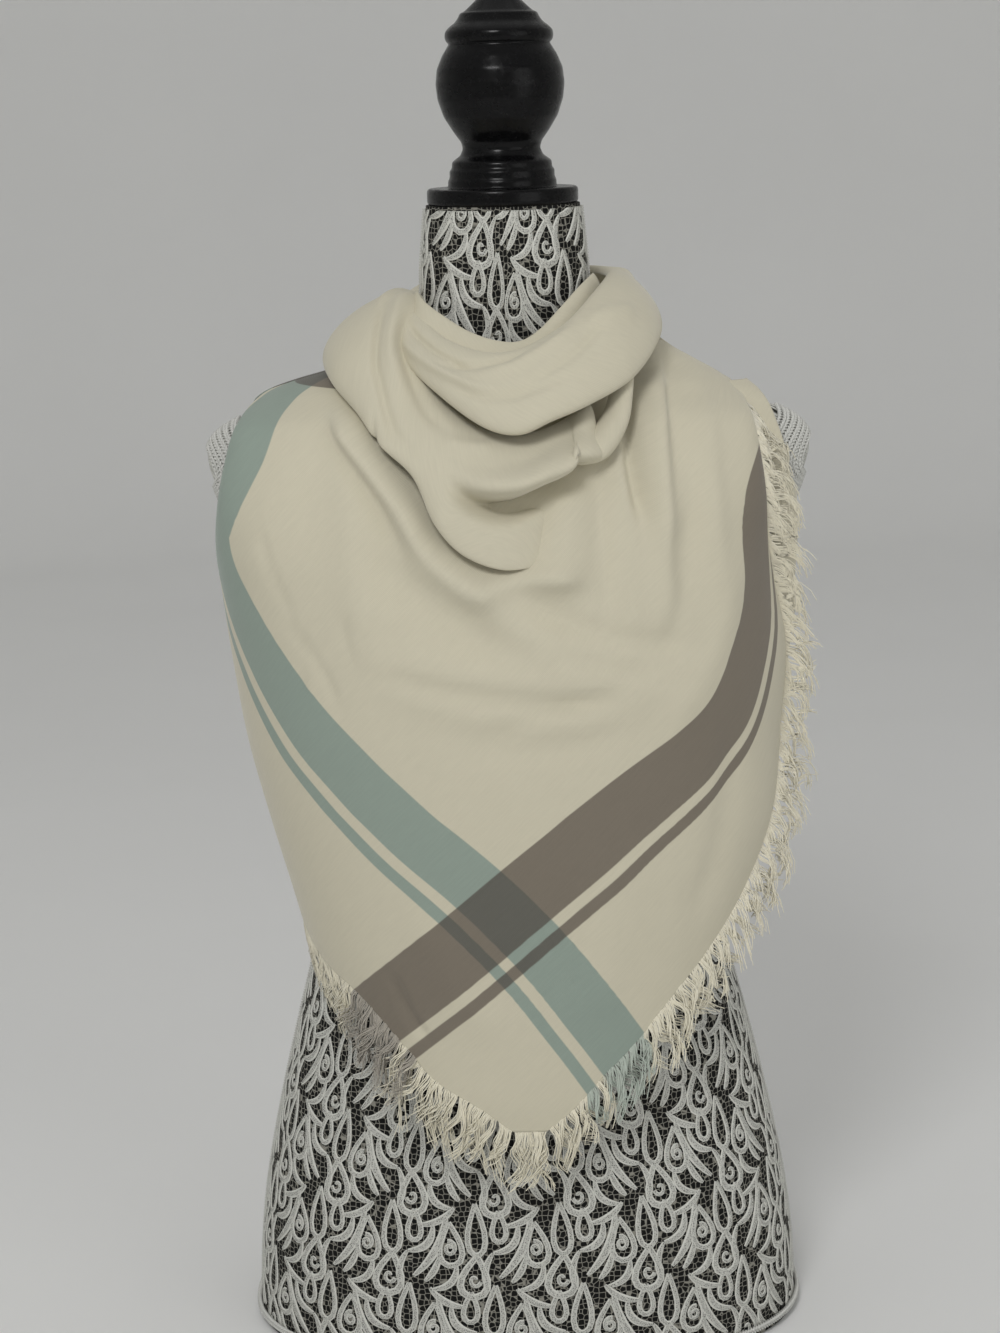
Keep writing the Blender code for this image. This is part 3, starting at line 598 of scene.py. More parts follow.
def cowl_surface(rows, along, around, curl, closed=False):
    """A rolled stretch: each section is an oval arc that bulges off the neck.

    From the upper to the lower edge the point moves with the cosine of its turn along
    the chord, and out with bulge times its sine. Two bells shape a pocket across it: one
    lifts the lip out and lets it hang down the chord, the other sinks the pocket in and
    up behind it."""
    row = named(COWL_COLUMNS, smooth_rows(rows, along, closed))
    upper = np.stack([row["ax"], row["ay"], row["az"]], axis=1)
    lower = np.stack([row["bx"], row["by"], row["bz"]], axis=1)
    middle, chord = (upper + lower) / 2, (lower - upper) / 2
    out = unit(np.cross(steps_along(middle, closed), chord))
    out *= np.sign((out * (middle - COWL_HEART)).sum(axis=1))[:, None]
    turn = np.radians(-curl[0] + (180 + curl[0] + curl[1]) * around)
    row = {name: values[:, None] for name, values in row.items()}
    place = (0.5 - 0.5 * np.cos(turn))[None, :] - row["pocket"]
    below = 1 / (1 + np.exp(-place / SWELL_CHANGE))
    swell = row["bulge"] * (1 - below) + row["lobe"] * below
    lip = np.exp(-((place + LIP_ABOVE) / LIP_WIDTH) ** 2)
    hang = np.exp(-((place + LIP_ABOVE * 0.7) / LIP_WIDTH) ** 2)
    dip = np.exp(-(place / POCKET_WIDTH) ** 2)
    lift = swell * np.sin(turn) + row["lip"] * lip - row["valley"] * dip
    slide = LIP_HANG * row["lip"] * hang - POCKET_RISE * row["valley"] * dip
    along_chord = -np.cos(turn)[None, :, None] * chord[:, None]
    return (middle[:, None] + along_chord + slide[..., None] * unit(chord)[:, None]
            + lift[..., None] * out[:, None])


def roll_places(grid, closed=False):
    """Arc lengths of a rolled stretch along its middle and round its section, in mm."""
    if closed:
        grid = np.concatenate([grid, grid[:1]])
    section = arc_lengths(grid, 1)
    run = arc_lengths(grid[:, grid.shape[1] // 2])
    return np.stack([run[:, None] + 0 * section, section], axis=2)


def band_distance(places, band):
    """Signed distance in mm of unrolled places from a smooth line through a band's
    points, above 0 on its outer side: the nearest point over all its short pieces,
    divided by the share of the band's width that shows there."""
    row = named(BAND_COLUMNS, smooth_rows(band, np.linspace(0, len(band) - 1, 130)))
    line, spots = np.stack([row["around"], row["up"]], axis=1), places.reshape(-1, 1, 2)
    start, way = line[:-1], np.diff(line, axis=0)
    share = np.clip(((spots - start) * way).sum(2) / (way ** 2).sum(1), 0, 1)
    off = spots - (start + share[..., None] * way)
    size = np.linalg.norm(off, axis=2)
    near, pick = size.argmin(axis=1), np.arange(len(spots))
    side = np.sign(way[near, 0] * off[pick, near, 1] - way[near, 1] * off[pick, near, 0])
    return (size[pick, near] * side / row["share"][near]).reshape(places.shape[:2])


def front_stripes(places):
    """Distances in metres from the inner edges of the teal and the brown border."""
    teal = -band_distance(places, TEAL_BAND)
    brown = band_distance(places, BROWN_BAND)
    shoulder = -band_distance(places, SHOULDER_BAND)
    upper_left = (places[..., 1] > SHOULDER_START) & (places[..., 0] < 0)
    return np.stack([teal, np.where(upper_left, shoulder, brown)], axis=2) * MM


def back_stripes(places):
    """The same on the back, where the teal runs above the fringe."""
    teal = band_distance(places, BACK_TEAL_BAND)
    brown = -band_distance(places, BACK_SHOULDER_BAND)
    return np.stack([teal, brown], axis=2) * MM


def plain(places):
    """Distances from both borders for cloth that has neither."""
    return -np.ones_like(places)


def corner_values(values, quads):
    """Values of the points at the corners of the squares."""
    return values.reshape(-1, values.shape[-1])[quads]


def cloth_piece(name, grid, weave, stripes, heart, replaced, closed=False):
    """A wall of cloth from a grid in mm, with its weave and stripe maps. The grid is its
    outer side, and the wall reaches inwards from it."""
    rows, columns = grid.shape[:2]
    quads = grid_quads(rows, columns, row_loop=closed)
    loose = grid_quads(rows + 1, columns) if closed else quads
    if (surface_normals(grid, closed) * (grid - np.asarray(heart))).sum() < 0:
        quads, loose = quads[:, ::-1], loose[:, ::-1]
    maps = {"weave": corner_values(weave * MM, loose),
            "stripes": corner_values(stripes, loose)}
    piece = make_piece(name, grid, quads, "brushed_woven_cloth", maps, [replaced])
    wall = piece.modifiers.new("cloth_thickness", "SOLIDIFY")
    wall.thickness = bpy.context.scene.scarf_sizes.cloth_thickness
    wall.offset = -1.0
    wall.use_rim = True
    return piece


def front_grid():
    """The front drape's fine grid with its places on the unrolled cloth."""
    return drape_grid(FRONT_ROWS, FRONT_STEPS, FRONT_CREASES)[:2]


def back_grid():
    """The back wrap's fine grid, with its places counted from its left seam."""
    grid, places, run = drape_grid(BACK_ROWS, BACK_STEPS, BACK_CREASES)
    places[:, :, 0] = run - run[:, -1:]
    return grid, places


# ---------------------------------------------------------------------------- fringe

def edge_frame(grid, column, inward, heart):
    """An edge of a grid with the ways off the cloth and out of it, each square to the
    edge's own way and to each other."""
    edge = grid[:, column]
    tangent = unit(np.gradient(edge, axis=0))
    off = square_to(edge - grid[:, column + inward], tangent)
    normal = outward_normals(grid, heart)[:, column]
    return edge, off, square_to(square_to(normal, tangent), off)


def fringe_piece(row, frame_at_edge, stripes, facing, seed):
    """Loose yarns along an edge, in tufts that share a lean.

    Each yarn runs from its root off the cloth and down, falls further with the square
    of its length, waves sideways and outwards as sines that grow towards its tip, and
    draws in to the middle of its tuft. It is a three-sided tube that thins to half."""
    fringe = dict(zip(FRINGE_COLUMNS, row))
    edge, off, normal = frame_at_edge
    rng = np.random.default_rng(seed)
    run = arc_lengths(edge)
    first, last = fringe["first"] * run[-1], fringe["last"] * run[-1]
    count = int((last - first) / fringe["pitch"])
    tuft = np.floor(np.linspace(0, count / YARNS_IN_TUFT, count)).astype(int)
    tufts = tuft.max() + 1

    def varied(by_tuft, by_yarn):
        """Random numbers of the yarns: a share that its tuft has and one of its own."""
        return by_tuft * rng.normal(0, 1, tufts)[tuft] + by_yarn * rng.normal(0, 1, count)

    spot = np.linspace(first, last, count) + rng.normal(0, 0.35, count)
    spot = spot + rng.normal(0, 0.6, tufts)[tuft]
    base, colour = columns_at(spot, run, edge), columns_at(spot, run, stripes)
    away, out = (unit(columns_at(spot, run, ways)) for ways in (off, normal))
    side = np.cross(away, out)

    # Where the edge looks down the front the yarns lean out, and at the sides they hug
    turned = np.clip(away[:, 1] * facing, 0, None)
    lean = YARN_LEAN + YARN_LEAN_BELOW * turned + varied(0.16, 0.05)
    hug = fringe["hug"] * np.clip((np.abs(out[:, 0]) - 0.5) / 0.3, 0, 1)
    lean = lean * (1 - hug) + YARN_HUG * hug
    sway = varied(0.19, 0.11)
    down = np.array([0, 0, -1.0])
    way = unit(away * (1 - 0.6 * turned)[:, None] + fringe["hang"] * down
               + lean[:, None] * out + sway[:, None] * side)
    share = 0.6 * rng.random(tufts)[tuft] + 0.4 * rng.random(count)
    size = fringe["shortest"] + (fringe["longest"] - fringe["shortest"]) * share

    # The path of each yarn's middle, with t from 0 at its root to 1 at its tip
    steps = np.linspace(0, 1, YARN_STEPS)
    t, long = steps[None, :, None], size[:, None, None]
    wave = (rng.uniform(0.7, 1.4, tufts)[tuft] + rng.uniform(0, 0.2, count))[:, None, None]
    phase = varied(2.2, 0.35)[:, None, None]
    many = np.bincount(tuft)
    heart = np.stack([np.bincount(tuft, base[:, k]) / many for k in range(3)], axis=1)
    draw = (heart[tuft] - base)[:, None] * 0.5 * t ** 1.5
    reach = long * fringe["curl"] * t
    swing = reach * np.sin(2 * np.pi * wave * t + phase)
    heave = (1 - 0.8 * hug)[:, None, None] * 0.7 * reach
    heave = heave * np.cos(2 * np.pi * wave * t + 1.3 * phase)
    root = base - away * 1.0 - out * 0.7
    path = (root[:, None] + long * (way[:, None] * t + YARN_FALL * down * t ** 2)
            + swing * side[:, None] + heave * out[:, None] + draw)

    radius = YARN_RADIUS * (1 - 0.45 * t)
    turn = np.radians([0, 120, 240])
    ahead = unit(np.gradient(path, axis=1))
    across = unit(np.cross(ahead, out[:, None]))
    ring = (np.cos(turn)[:, None] * across[:, :, None]
            + np.sin(turn)[:, None] * np.cross(across, ahead)[:, :, None])
    points = path[:, :, None] + radius[..., None] * ring
    each = YARN_STEPS * len(turn)
    quads = repeated(grid_quads(YARN_STEPS, len(turn), column_loop=True), each, count)
    stripe = np.broadcast_to(colour[:, None], (count, each, 2))
    weave = np.stack([np.broadcast_to(spot[:, None], (count, each)),
                      np.repeat(steps * size[:, None], len(turn), axis=1)], axis=2) * MM
    maps = {"weave": corner_values(weave, quads), "stripes": corner_values(stripe, quads)}
    make_piece(fringe["name"], points, quads, "frayed_yarn", maps,
               [fringe["replaced"]] if fringe["replaced"] else ())


# ------------------------------------------------------------- form, lace and trims

def form_section(height):
    """Half width, half depth, centre y and power of the form at heights in mm."""
    rows = np.array(FORM_ROWS, float)
    at = np.interp(height, rows[:, 0], np.arange(len(rows)))
    section = named(FORM_COLUMNS, smooth_rows(rows, at))
    return [section[name] for name in FORM_COLUMNS[1:]]


def even_turn(share):
    """The angle round the form whose arc length is a share of the whole way round, so
    that a pattern keeps its size: the hip's rounded oval, measured in short steps."""
    _, width, depth, _, power = FORM_ROWS[0]
    angle = np.linspace(0, 2 * np.pi, 1441)
    run = arc_lengths(np.stack([width * signed_power(np.cos(angle), 2 / power),
                                depth * signed_power(np.sin(angle), 2 / power)], axis=1))
    return np.interp(np.mod(share, 1.0), run / run[-1], angle)


def form_point(share, height):
    """Points of the form's skin in mm at shares of the way round and heights: a
    rounded oval with the section's sizes at each height."""
    flat = np.clip(np.ravel(height), 0, FORM_TOP)
    width, depth, centre, power = form_section(flat)
    angle = even_turn(np.ravel(share))
    x = width * signed_power(np.cos(angle), 2 / power)
    y = centre + depth * signed_power(np.sin(angle), 2 / power)
    return np.stack([x, y, flat], axis=1).reshape(*np.shape(share), 3)


def form_out(share, height):
    """Unit way out of the skin: the cross product of small steps round and up."""
    around = form_point(share + 0.002, height) - form_point(share - 0.002, height)
    up = form_point(share, height + 1.0) - form_point(share, height - 1.0)
    return unit(np.cross(around, up))


def drop_path(drop, t):
    """A closed loop with one pointed end: x follows the sine of the turn times the
    half turn's sine to the power 1.3, and y its cosine."""
    turn = 2 * np.pi * t
    x = drop["width"] / 2 * 1.25 * np.sin(turn) * np.sin(turn / 2) ** 1.3
    y = drop["length"] / 2 * np.cos(turn)
    lean = np.radians(drop["lean_deg"])
    return np.stack([drop["x"] + x * np.cos(lean) + y * np.sin(lean),
                     drop["y"] - x * np.sin(lean) + y * np.cos(lean)], axis=1)


def scroll_path(scroll, t):
    """A spiral: its radius shrinks to a quarter while it turns."""
    angle = np.radians(scroll["start_deg"]) + 2 * np.pi * scroll["turns"] * t
    radius = scroll["radius"] * (1 - 0.75 * t)
    return np.stack([scroll["x"] + radius * np.cos(angle),
                     scroll["y"] + 1.25 * radius * np.sin(angle)], axis=1)


def leaf_path(leaf, t):
    """A bent line: straight from start to end, moved sideways by bow times 4 t (1 - t)."""
    start, end = np.array([leaf["x0"], leaf["y0"]]), np.array([leaf["x1"], leaf["y1"]])
    way = unit(end - start)
    bend = leaf["bow"] * 4 * t * (1 - t)
    return (start + t[:, None] * (end - start)
            + bend[:, None] * np.array([-way[1], way[0]]))


def motif_strokes():
    """All strokes of one tile: their middle lines and their half widths along them."""
    t = np.linspace(0, 1, STROKE_STEPS)
    lines, widths = [], []
    for rows, columns, path, taper in (
            (DROPS, DROP_COLUMNS, drop_path, 0.6 + 0.4 * np.sin(np.pi * t)),
            (SCROLLS, SCROLL_COLUMNS, scroll_path, 1 - 0.4 * t),
            (LEAVES, LEAF_COLUMNS, leaf_path, 0.25 + 0.75 * np.sin(np.pi * t) ** 0.7)):
        for row in rows:
            stroke = dict(zip(columns, row))
            lines.append(path(stroke, t))
            widths.append(stroke["half_width"] * taper)
    return np.array(lines), np.array(widths)


def lace_piece(name, around, low, high, kept):
    """Raised corded motifs on the form's skin between two heights.

    A tile's strokes repeat round the form and up it, every other row mirrored and moved
    half a tile, and are cut off level at the two heights. kept says from x, y and z which
    strokes stay. Each stroke is a flat band whose two edges stand up as cords."""
    lines, widths = motif_strokes()
    rows = np.arange(int(low // TILE[1]) - 1, int(np.ceil(high / TILE[1])) + 1)
    column, row = (k.ravel() for k in np.meshgrid(np.arange(around), rows))
    flip = np.where(row % 2, -1.0, 1.0)
    x = lines[None, :, :, 0] * flip[:, None, None]
    y = np.broadcast_to(lines[None, :, :, 1], x.shape)
    step_x, step_y = np.gradient(x, axis=2), np.gradient(y, axis=2)
    size = np.maximum(np.hypot(step_x, step_y), 1e-9)
    reach = (widths[None, :, :, None] + STROKE_EXTRA) * CORD_ACROSS
    x = x[..., None] - reach * (step_y / size)[..., None]
    y = y[..., None] + reach * (step_x / size)[..., None]
    half = 0.5 * (row % 2)
    share = (column + half)[:, None, None, None] / around + x / (TILE[0] * around)
    height = row[:, None, None, None] * TILE[1] + y
    mid, line = STROKE_STEPS // 2, len(CORD_ACROSS) // 2
    keep = (height.min(axis=(2, 3)) < high - 3) & (height.max(axis=(2, 3)) > low + 3)
    middle = form_point(share[:, :, mid, line], height[:, :, mid, line])
    keep &= kept(middle[..., 0], middle[..., 1], middle[..., 2])
    share, height = share[keep], np.clip(height[keep], low, high)
    points = (form_point(share, height)
              + CORD_LIFT[None, None, :, None] * form_out(share, height))
    count, long, wide = share.shape
    quads = repeated(grid_quads(long, wide), long * wide, count).reshape(count, -1, 4)
    normal = np.cross(points[:, mid + 1, line] - points[:, mid - 1, line],
                      points[:, mid, line + 1] - points[:, mid, line - 1])
    wrong = (normal * (points.mean(axis=(1, 2)) * (1, 1, 0))).sum(axis=1) < 0
    quads[wrong] = quads[wrong][:, :, ::-1]
    quads = quads.reshape(-1, 4)
    band = np.stack([np.broadcast_to(np.linspace(0, 0.03, long)[:, None], (long, wide)),
                     np.broadcast_to(CORD_ACROSS * 0.5 + 0.5, (long, wide))], axis=2)
    band = np.broadcast_to(band, (count, long, wide, 2)).reshape(-1, 2)
    make_piece(name, points, quads, "corded_cotton_lace",
               {"band": corner_values(band, quads)})


def even_path(path, step):
    """A closed path's points moved to even steps of its own length."""
    path = np.concatenate([path, path[:1]])
    run = arc_lengths(path)
    marks = np.linspace(0, run[-1], max(8, int(run[-1] / step)), endpoint=False)
    return columns_at(marks, run, path)


def plied_strands(path, out, closed, pitch, ply, sides=4):
    """Points and faces of strands that wind round each other along a path.

    Each strand's middle swings sideways with the sine of its turn and outwards with
    the sine of twice that turn, as in a plait, or with its cosine for a twist of two,
    which winds the other way if the pitch is negative. Strands are tubes of one
    radius."""
    strands, swing, radius = ply
    ahead = unit(steps_along(path, closed))
    out = square_to(out, ahead)
    side = np.cross(ahead, out)
    run = arc_lengths(path)
    whole = run[-1] + (np.linalg.norm(path[0] - path[-1]) if closed else 0)
    turns = round(whole / pitch)
    phase = 2 * np.pi * (run[:, None] / whole * turns + np.arange(strands) / strands)
    rise = np.sin(2 * phase) * 0.5 if strands > 2 else np.cos(phase)
    middle = (path[:, None] + swing * np.sin(phase)[..., None] * side[:, None]
              + swing * rise[..., None] * out[:, None])
    angle = np.arange(sides) / sides * 2 * np.pi
    ring = (np.cos(angle)[:, None] * out[:, None, None]
            + np.sin(angle)[:, None] * side[:, None, None])
    points = np.swapaxes(middle[:, :, None] + radius * ring, 0, 1)
    one = grid_quads(len(path), sides, row_loop=closed, column_loop=True)
    return points.reshape(-1, 3), repeated(one, len(path) * sides, strands)


def plied_cords(name, cords, closed, ply, replaces=()):
    """One piece from several cords, each given as its path, way out and pitch."""
    points, quads, first = [], [], 0
    for path, out, pitch in cords:
        one, faces = plied_strands(path, out, closed, pitch, ply)
        points.append(one)
        quads.append(faces + first)
        first += len(one)
    make_piece(name, np.concatenate(points), np.concatenate(quads),
               "plaited_cotton_braid", None, replaces)


def armhole_line(side, inward):
    """A line round an arm cap on the form's skin, so many mm inside the cap's seam,
    with the way out of it. Lines draw in less above and below than before and behind."""
    turn = np.linspace(0, 2 * np.pi, 240, endpoint=False)
    z = ARM_HEIGHT + (ARM_HALF_HEIGHT - 0.55 * inward) * np.cos(turn)
    width, depth, centre, power = form_section(z)
    across = (ARM_SHARE - inward / ARM_DEPTH) * np.sin(turn)
    x = width * (1 - np.abs(across) ** power) ** (1 / power)
    path = even_path(np.stack([side * x, centre + depth * across, z], axis=1), 0.9)
    out = unit(path - np.array([side * 110.0, 3, ARM_HEIGHT]))
    return path + 1.6 * out, out


def hem_line():
    """The line just outside the form's lower edge."""
    share = np.linspace(0, 1, 720, endpoint=False)
    path = even_path(form_point(share, 6.0 + 0 * share), 0.8)
    out = unit(path * (1, 1, 0))
    return path + 2.4 * out, out


# ------------------------------------------------------------------------ materials

def node(tree, kind, links=None, **settings):
    """Adds one node. settings are its own, and links holds a value or an output for
    each of its sockets, by name or number."""
    made = tree.nodes.new("ShaderNode" + kind)
    for name, value in settings.items():
        setattr(made, name, value)
    for name, value in (links or {}).items():
        if isinstance(value, bpy.types.NodeSocket):
            tree.links.new(value, made.inputs[name])
        else:
            made.inputs[name].default_value = value
    return made


def calculated(tree, operation, *values):
    """The result of one sum."""
    return node(tree, "Math", dict(enumerate(values)), operation=operation).outputs[0]


def mapped(tree, value, low, high, to_low, to_high):
    """A value moved from one range into another."""
    return node(tree, "MapRange", {0: value, 1: low, 2: high, 3: to_low,
                                   4: to_high}).outputs[0]


def mixed(tree, share, *colours):
    """The colour between two, each an output or its red, green and blue."""
    first, second = (c if isinstance(c, bpy.types.NodeSocket) else (*c, 1)
                     for c in colours)
    return node(tree, "Mix", {0: share, 6: first, 7: second},
                data_type="RGBA").outputs[2]


def scaled(tree, colour, factor):
    """A colour made paler or darker."""
    return node(tree, "VectorMath", {0: colour, "Scale": factor},
                operation="SCALE").outputs[0]


def noise(tree, place, scale, detail=2.0, roughness=0.5):
    """Cloudy noise round a half."""
    return node(tree, "TexNoise", {"Vector": place, "Scale": scale, "Detail": detail,
                                   "Roughness": roughness}).outputs[0]


def cell_edges(tree, place, scale, unevenness):
    """The distance to the nearest edge of a cell."""
    return node(tree, "TexVoronoi", {"Vector": place, "Scale": scale,
                                     "Randomness": unevenness},
                feature="DISTANCE_TO_EDGE").outputs[0]


def uv_place(tree, name):
    """Places on one of the piece's maps."""
    return node(tree, "UVMap", uv_map=name).outputs[0]


def object_place(tree):
    """Places in the object itself."""
    return node(tree, "TexCoord").outputs["Object"]


def new_tree(name):
    """The empty tree of a new material."""
    material = bpy.data.materials.new(name)
    material.use_nodes = True
    material.node_tree.nodes.clear()
    return material.node_tree


def finish(tree, colour, roughness, specular, bump=None, sheen=None):
    """Ends a material. bump is a height, its strength and its depth in metres, and sheen
    its weight and roughness."""
    links = {"Base Color": colour, "Roughness": roughness, "Specular IOR Level": specular}
    if bump:
        links["Normal"] = node(tree, "Bump", {"Height": bump[0], "Strength": bump[1],
                                              "Distance": bump[2]}).outputs[0]
    if sheen:
        links["Sheen Weight"], links["Sheen Roughness"] = sheen
    shader = node(tree, "BsdfPrincipled", links)
    node(tree, "OutputMaterial", {0: shader.outputs[0]})


def stripe_mask(tree, distance, wide, sizes):
    """1 on a border's wide and narrow band, by the distance from its inner edge, which
    a colour ramp reads from 0 to reach. soft is how fast a band's edge fades."""
    reach, start, soft = 0.1, 0.001, 0.0006
    ramp = node(tree, "ValToRGB", {0: calculated(tree, "DIVIDE", distance, reach)})
    narrow = wide + sizes.band_gap
    stops, value = [], 0
    for edge in (0.0, wide, narrow, narrow + sizes.narrow_band):
        stops += [((edge + start) / reach, value),
                  ((edge + start + soft) / reach, 1 - value)]
        value = 1 - value
    elements = ramp.color_ramp.elements
    while len(elements) < len(stops):
        elements.new(1.0)
    for element, (place, value) in zip(elements, stops):
        element.position = place
        element.color = (value, value, value, 1)
    return ramp.outputs[0]


def woven_cloth(name, paler, whiter):
    """Brushed acrylic and wool plain weave: matt, softly napped, with a faint grid of
    threads, and border stripes woven in both ways that darken where they cross. Frayed
    yarns use the same colours, painted paler and whiter: partly their own lighter look,
    partly painted light that offsets the shade the strands cast on each other."""
    colours, sizes = bpy.context.scene.scarf_colours, bpy.context.scene.scarf_sizes
    tree = new_tree(name)
    parts = node(tree, "SeparateXYZ", {0: uv_place(tree, "stripes")}).outputs
    teal = stripe_mask(tree, parts[0], sizes.wide_teal, sizes)
    brown = stripe_mask(tree, parts[1], sizes.wide_brown, sizes)
    woven = mixed(tree, brown, mixed(tree, teal, colours.cream, colours.teal),
                  mixed(tree, teal, colours.brown, colours.crossing))
    # Painted light on the fringe: a mix towards a paler colour, partly the yarns' own tone,
    # partly offsetting the shade between strands
    if whiter:
        woven = mixed(tree, whiter, woven, colours.fibre_tone_and_painted_light)

    # Threads coarser than the real 0.4 mm so that they can show, on the cloth's bias
    turned = node(tree, "Mapping", {"Vector": uv_place(tree, "weave"),
                                    "Rotation": (0, 0, np.radians(45))}).outputs[0]
    warp, weft = (node(tree, "TexWave",
                       {"Vector": turned, "Scale": 2 * np.pi / (20 * sizes.thread_pitch),
                        "Distortion": 1.2, "Detail": 1.0}, bands_direction=way).outputs[1]
                  for way in ("X", "Y"))
    nap = noise(tree, turned, 380.0, 4.0, 0.6)
    slub = node(tree, "Mapping", {"Vector": turned, "Scale": (900.0, 60.0, 1.0)})
    yarn = noise(tree, slub.outputs[0], 1.0)
    # paler lifts the whole colour; on the fringe that is partly painted light against the
    # shade between strands
    tone = mapped(tree, yarn, 0.3, 0.7, 0.975 * paler, 1.02 * paler)
    height = calculated(tree, "MULTIPLY_ADD", nap, 0.5,
                        calculated(tree, "MULTIPLY", warp, weft))
    finish(tree, scaled(tree, woven, tone), 0.92, 0.15, (height, 0.2, 0.0003),
           (0.25, 0.45))


def black_lacquer():
    """Gloss black lacquer on turned wood: deep black with soft highlights, faint
    brush waves, and gloss that varies from place to place."""
    tree = new_tree("black_lacquered_wood")
    place = object_place(tree)
    gloss = mapped(tree, noise(tree, place, 260.0, 3.0), 0.45, 0.75, 0.2, 0.38)
    finish(tree, (*bpy.context.scene.scarf_colours.lacquer, 1), gloss, 0.16,
           (noise(tree, place, 55.0), 0.12, 0.0006))


def jersey_with_net():
    """Black cotton jersey under an off-white hexagonal net ground: dull black cells
    between fine pale threads."""
    colours, sizes = bpy.context.scene.scarf_colours, bpy.context.scene.scarf_sizes
    tree = new_tree("net_over_black_jersey")
    edges = cell_edges(tree, uv_place(tree, "cover"), 1 / sizes.net_cell, 0.55)
    thread = mapped(tree, edges, 0.035, 0.085, 1.0, 0.0)
    finish(tree, mixed(tree, thread, colours.jersey, colours.net), 0.9, 0.2,
           (thread, 0.6, 0.0003))


def corded_lace():
    """Off-white cotton lace motifs: bright raised cords along both edges of each
    stroke, and between them a darker filling of fine cross threads over the black."""
    colours = bpy.context.scene.scarf_colours
    tree = new_tree("corded_cotton_lace")
    parts = node(tree, "SeparateXYZ", {0: uv_place(tree, "band")}).outputs
    across = calculated(tree, "ABSOLUTE", calculated(tree, "SUBTRACT", parts[1], 0.5))
    cord = mapped(tree, across, 0.25, 0.32, 0.0, 1.0)
    place = object_place(tree)
    holes = mapped(tree, cell_edges(tree, place, 900.0, 0.9), 0.08, 0.24, 0.85, 0.30)
    ply = noise(tree, place, 1100.0)
    tone = mapped(tree, ply, 0.3, 0.7, 0.85, 1.08)
    dense = node(tree, "Mix", {0: cord, 2: holes, 3: tone}, data_type="FLOAT").outputs[0]
    finish(tree, mixed(tree, dense, colours.jersey, colours.lace), 0.88, 0.2,
           (ply, 0.4, 0.0003))


def cotton_braid():
    """Bleached cotton plaited trim: matt off-white with fine ply marks."""
    tree = new_tree("plaited_cotton_braid")
    ply = noise(tree, object_place(tree), 1500.0, 3.0)
    white = scaled(tree, bpy.context.scene.scarf_colours.braid,
                   mapped(tree, ply, 0.3, 0.7, 0.82, 1.05))
    finish(tree, white, 0.85, 0.2, (ply, 0.4, 0.0003))


def studio_paper():
    """Matt pale grey paper sweep: even, with the faintest grain."""
    tree = new_tree("matt_grey_paper")
    tone = mapped(tree, noise(tree, object_place(tree), 3.0), 0.0, 1.0, 0.98, 1.02)
    finish(tree, scaled(tree, bpy.context.scene.scarf_colours.paper, tone), 0.95, 0.1)


# ------------------------------------------------------------------------- settings

def length(label, text, value):
    """A size in metres that the panel shows."""
    return bpy.props.FloatProperty(name=label, description=text, default=value,
                                   unit="LENGTH", precision=5)


def colour(label, text, value):
    """A colour that the panel shows, from its hex text."""
    return bpy.props.FloatVectorProperty(name=label, description=text, size=3,
                                         subtype="COLOR", min=0.0, max=1.0,
                                         default=linear(value))


def number(label, text, value):
    """A count that the panel shows."""
    return bpy.props.IntProperty(name=label, description=text, default=value)


class ScarfSizes(bpy.types.PropertyGroup):
    cloth_thickness: length("Cloth thickness", "Wall of the napped cloth", 0.0015)
    wide_teal: length("Wide teal band", "Width of the teal border's wide stripe", 0.0355)
    wide_brown: length("Wide brown band", "Width of the brown border's wide stripe", 0.043)
    band_gap: length("Band gap", "Plain cloth between the wide and narrow stripe", 0.0070)
    narrow_band: length("Narrow band", "Width of each border's narrow stripe", 0.0075)
    thread_pitch: length("Thread pitch", "Spacing of the threads that show", 0.0008)
    net_cell: length("Net cell", "Width of one cell of the lace ground", 0.0034)
    lace_repeats: number("Lace repeats", "Motifs in one round of the form", 17)
    neck_repeats: number("Neck repeats", "Motifs in one round of the neck", 6)
    braid_pitch: length("Braid pitch", "Length of one turn of the plaited trims", 0.007)
    gimp_width: length("Gimp width", "Width of the braid inside each arm cap's seam", 0.029)
    gimp_cords: number("Gimp cords", "Twisted cords side by side in that braid", 12)


class ScarfColours(bpy.types.PropertyGroup):
    cream: colour("Cream", "Ground of the scarf", "#D0CAB5")
    teal: colour("Teal", "One border's stripes", "#95A298")
    brown: colour("Brown", "The other border's stripes", "#80786C")
    crossing: colour("Crossing", "Where the wide stripes cross", "#686760")
    # Paler colour for the fringe: partly the yarns' own tone, partly painted light that
    # offsets the shade between strands
    fibre_tone_and_painted_light: colour("Loose fibre", "Undyed fibres that show in the fringe", "#D6D4CC")
    lacquer: colour("Lacquer", "Turned cap and disc", "#0B0B0C")
    jersey: colour("Jersey", "Black cover under the lace", "#141413")
    net: colour("Net", "Fine threads of the lace ground", "#8F8D84")
    lace: colour("Lace", "Corded motifs of the lace", "#DADAD3")
    braid: colour("Braid", "Plaited trims and seam cords", "#DCDCD7")
    paper: colour("Paper", "Floor and backdrop", "#EFEFEE")


# ------------------------------------------------------------------------ operators

class SCARF_OT_finishes(bpy.types.Operator):
    """Makes the materials of the scarf, the form, its trims and the studio"""
    bl_idname = "scarf.finishes"
    bl_label = "Finishes"

    def execute(self, context):
        woven_cloth("brushed_woven_cloth", 1.0, 0)
        # The fringe's copy, painted paler and whiter: partly its own tone, partly painted
        # light against the shade between strands
        woven_cloth("frayed_yarn", 1.4, 0.25)
        black_lacquer()
        jersey_with_net()
        corded_lace()
        cotton_braid()
        studio_paper()
        return {"FINISHED"}


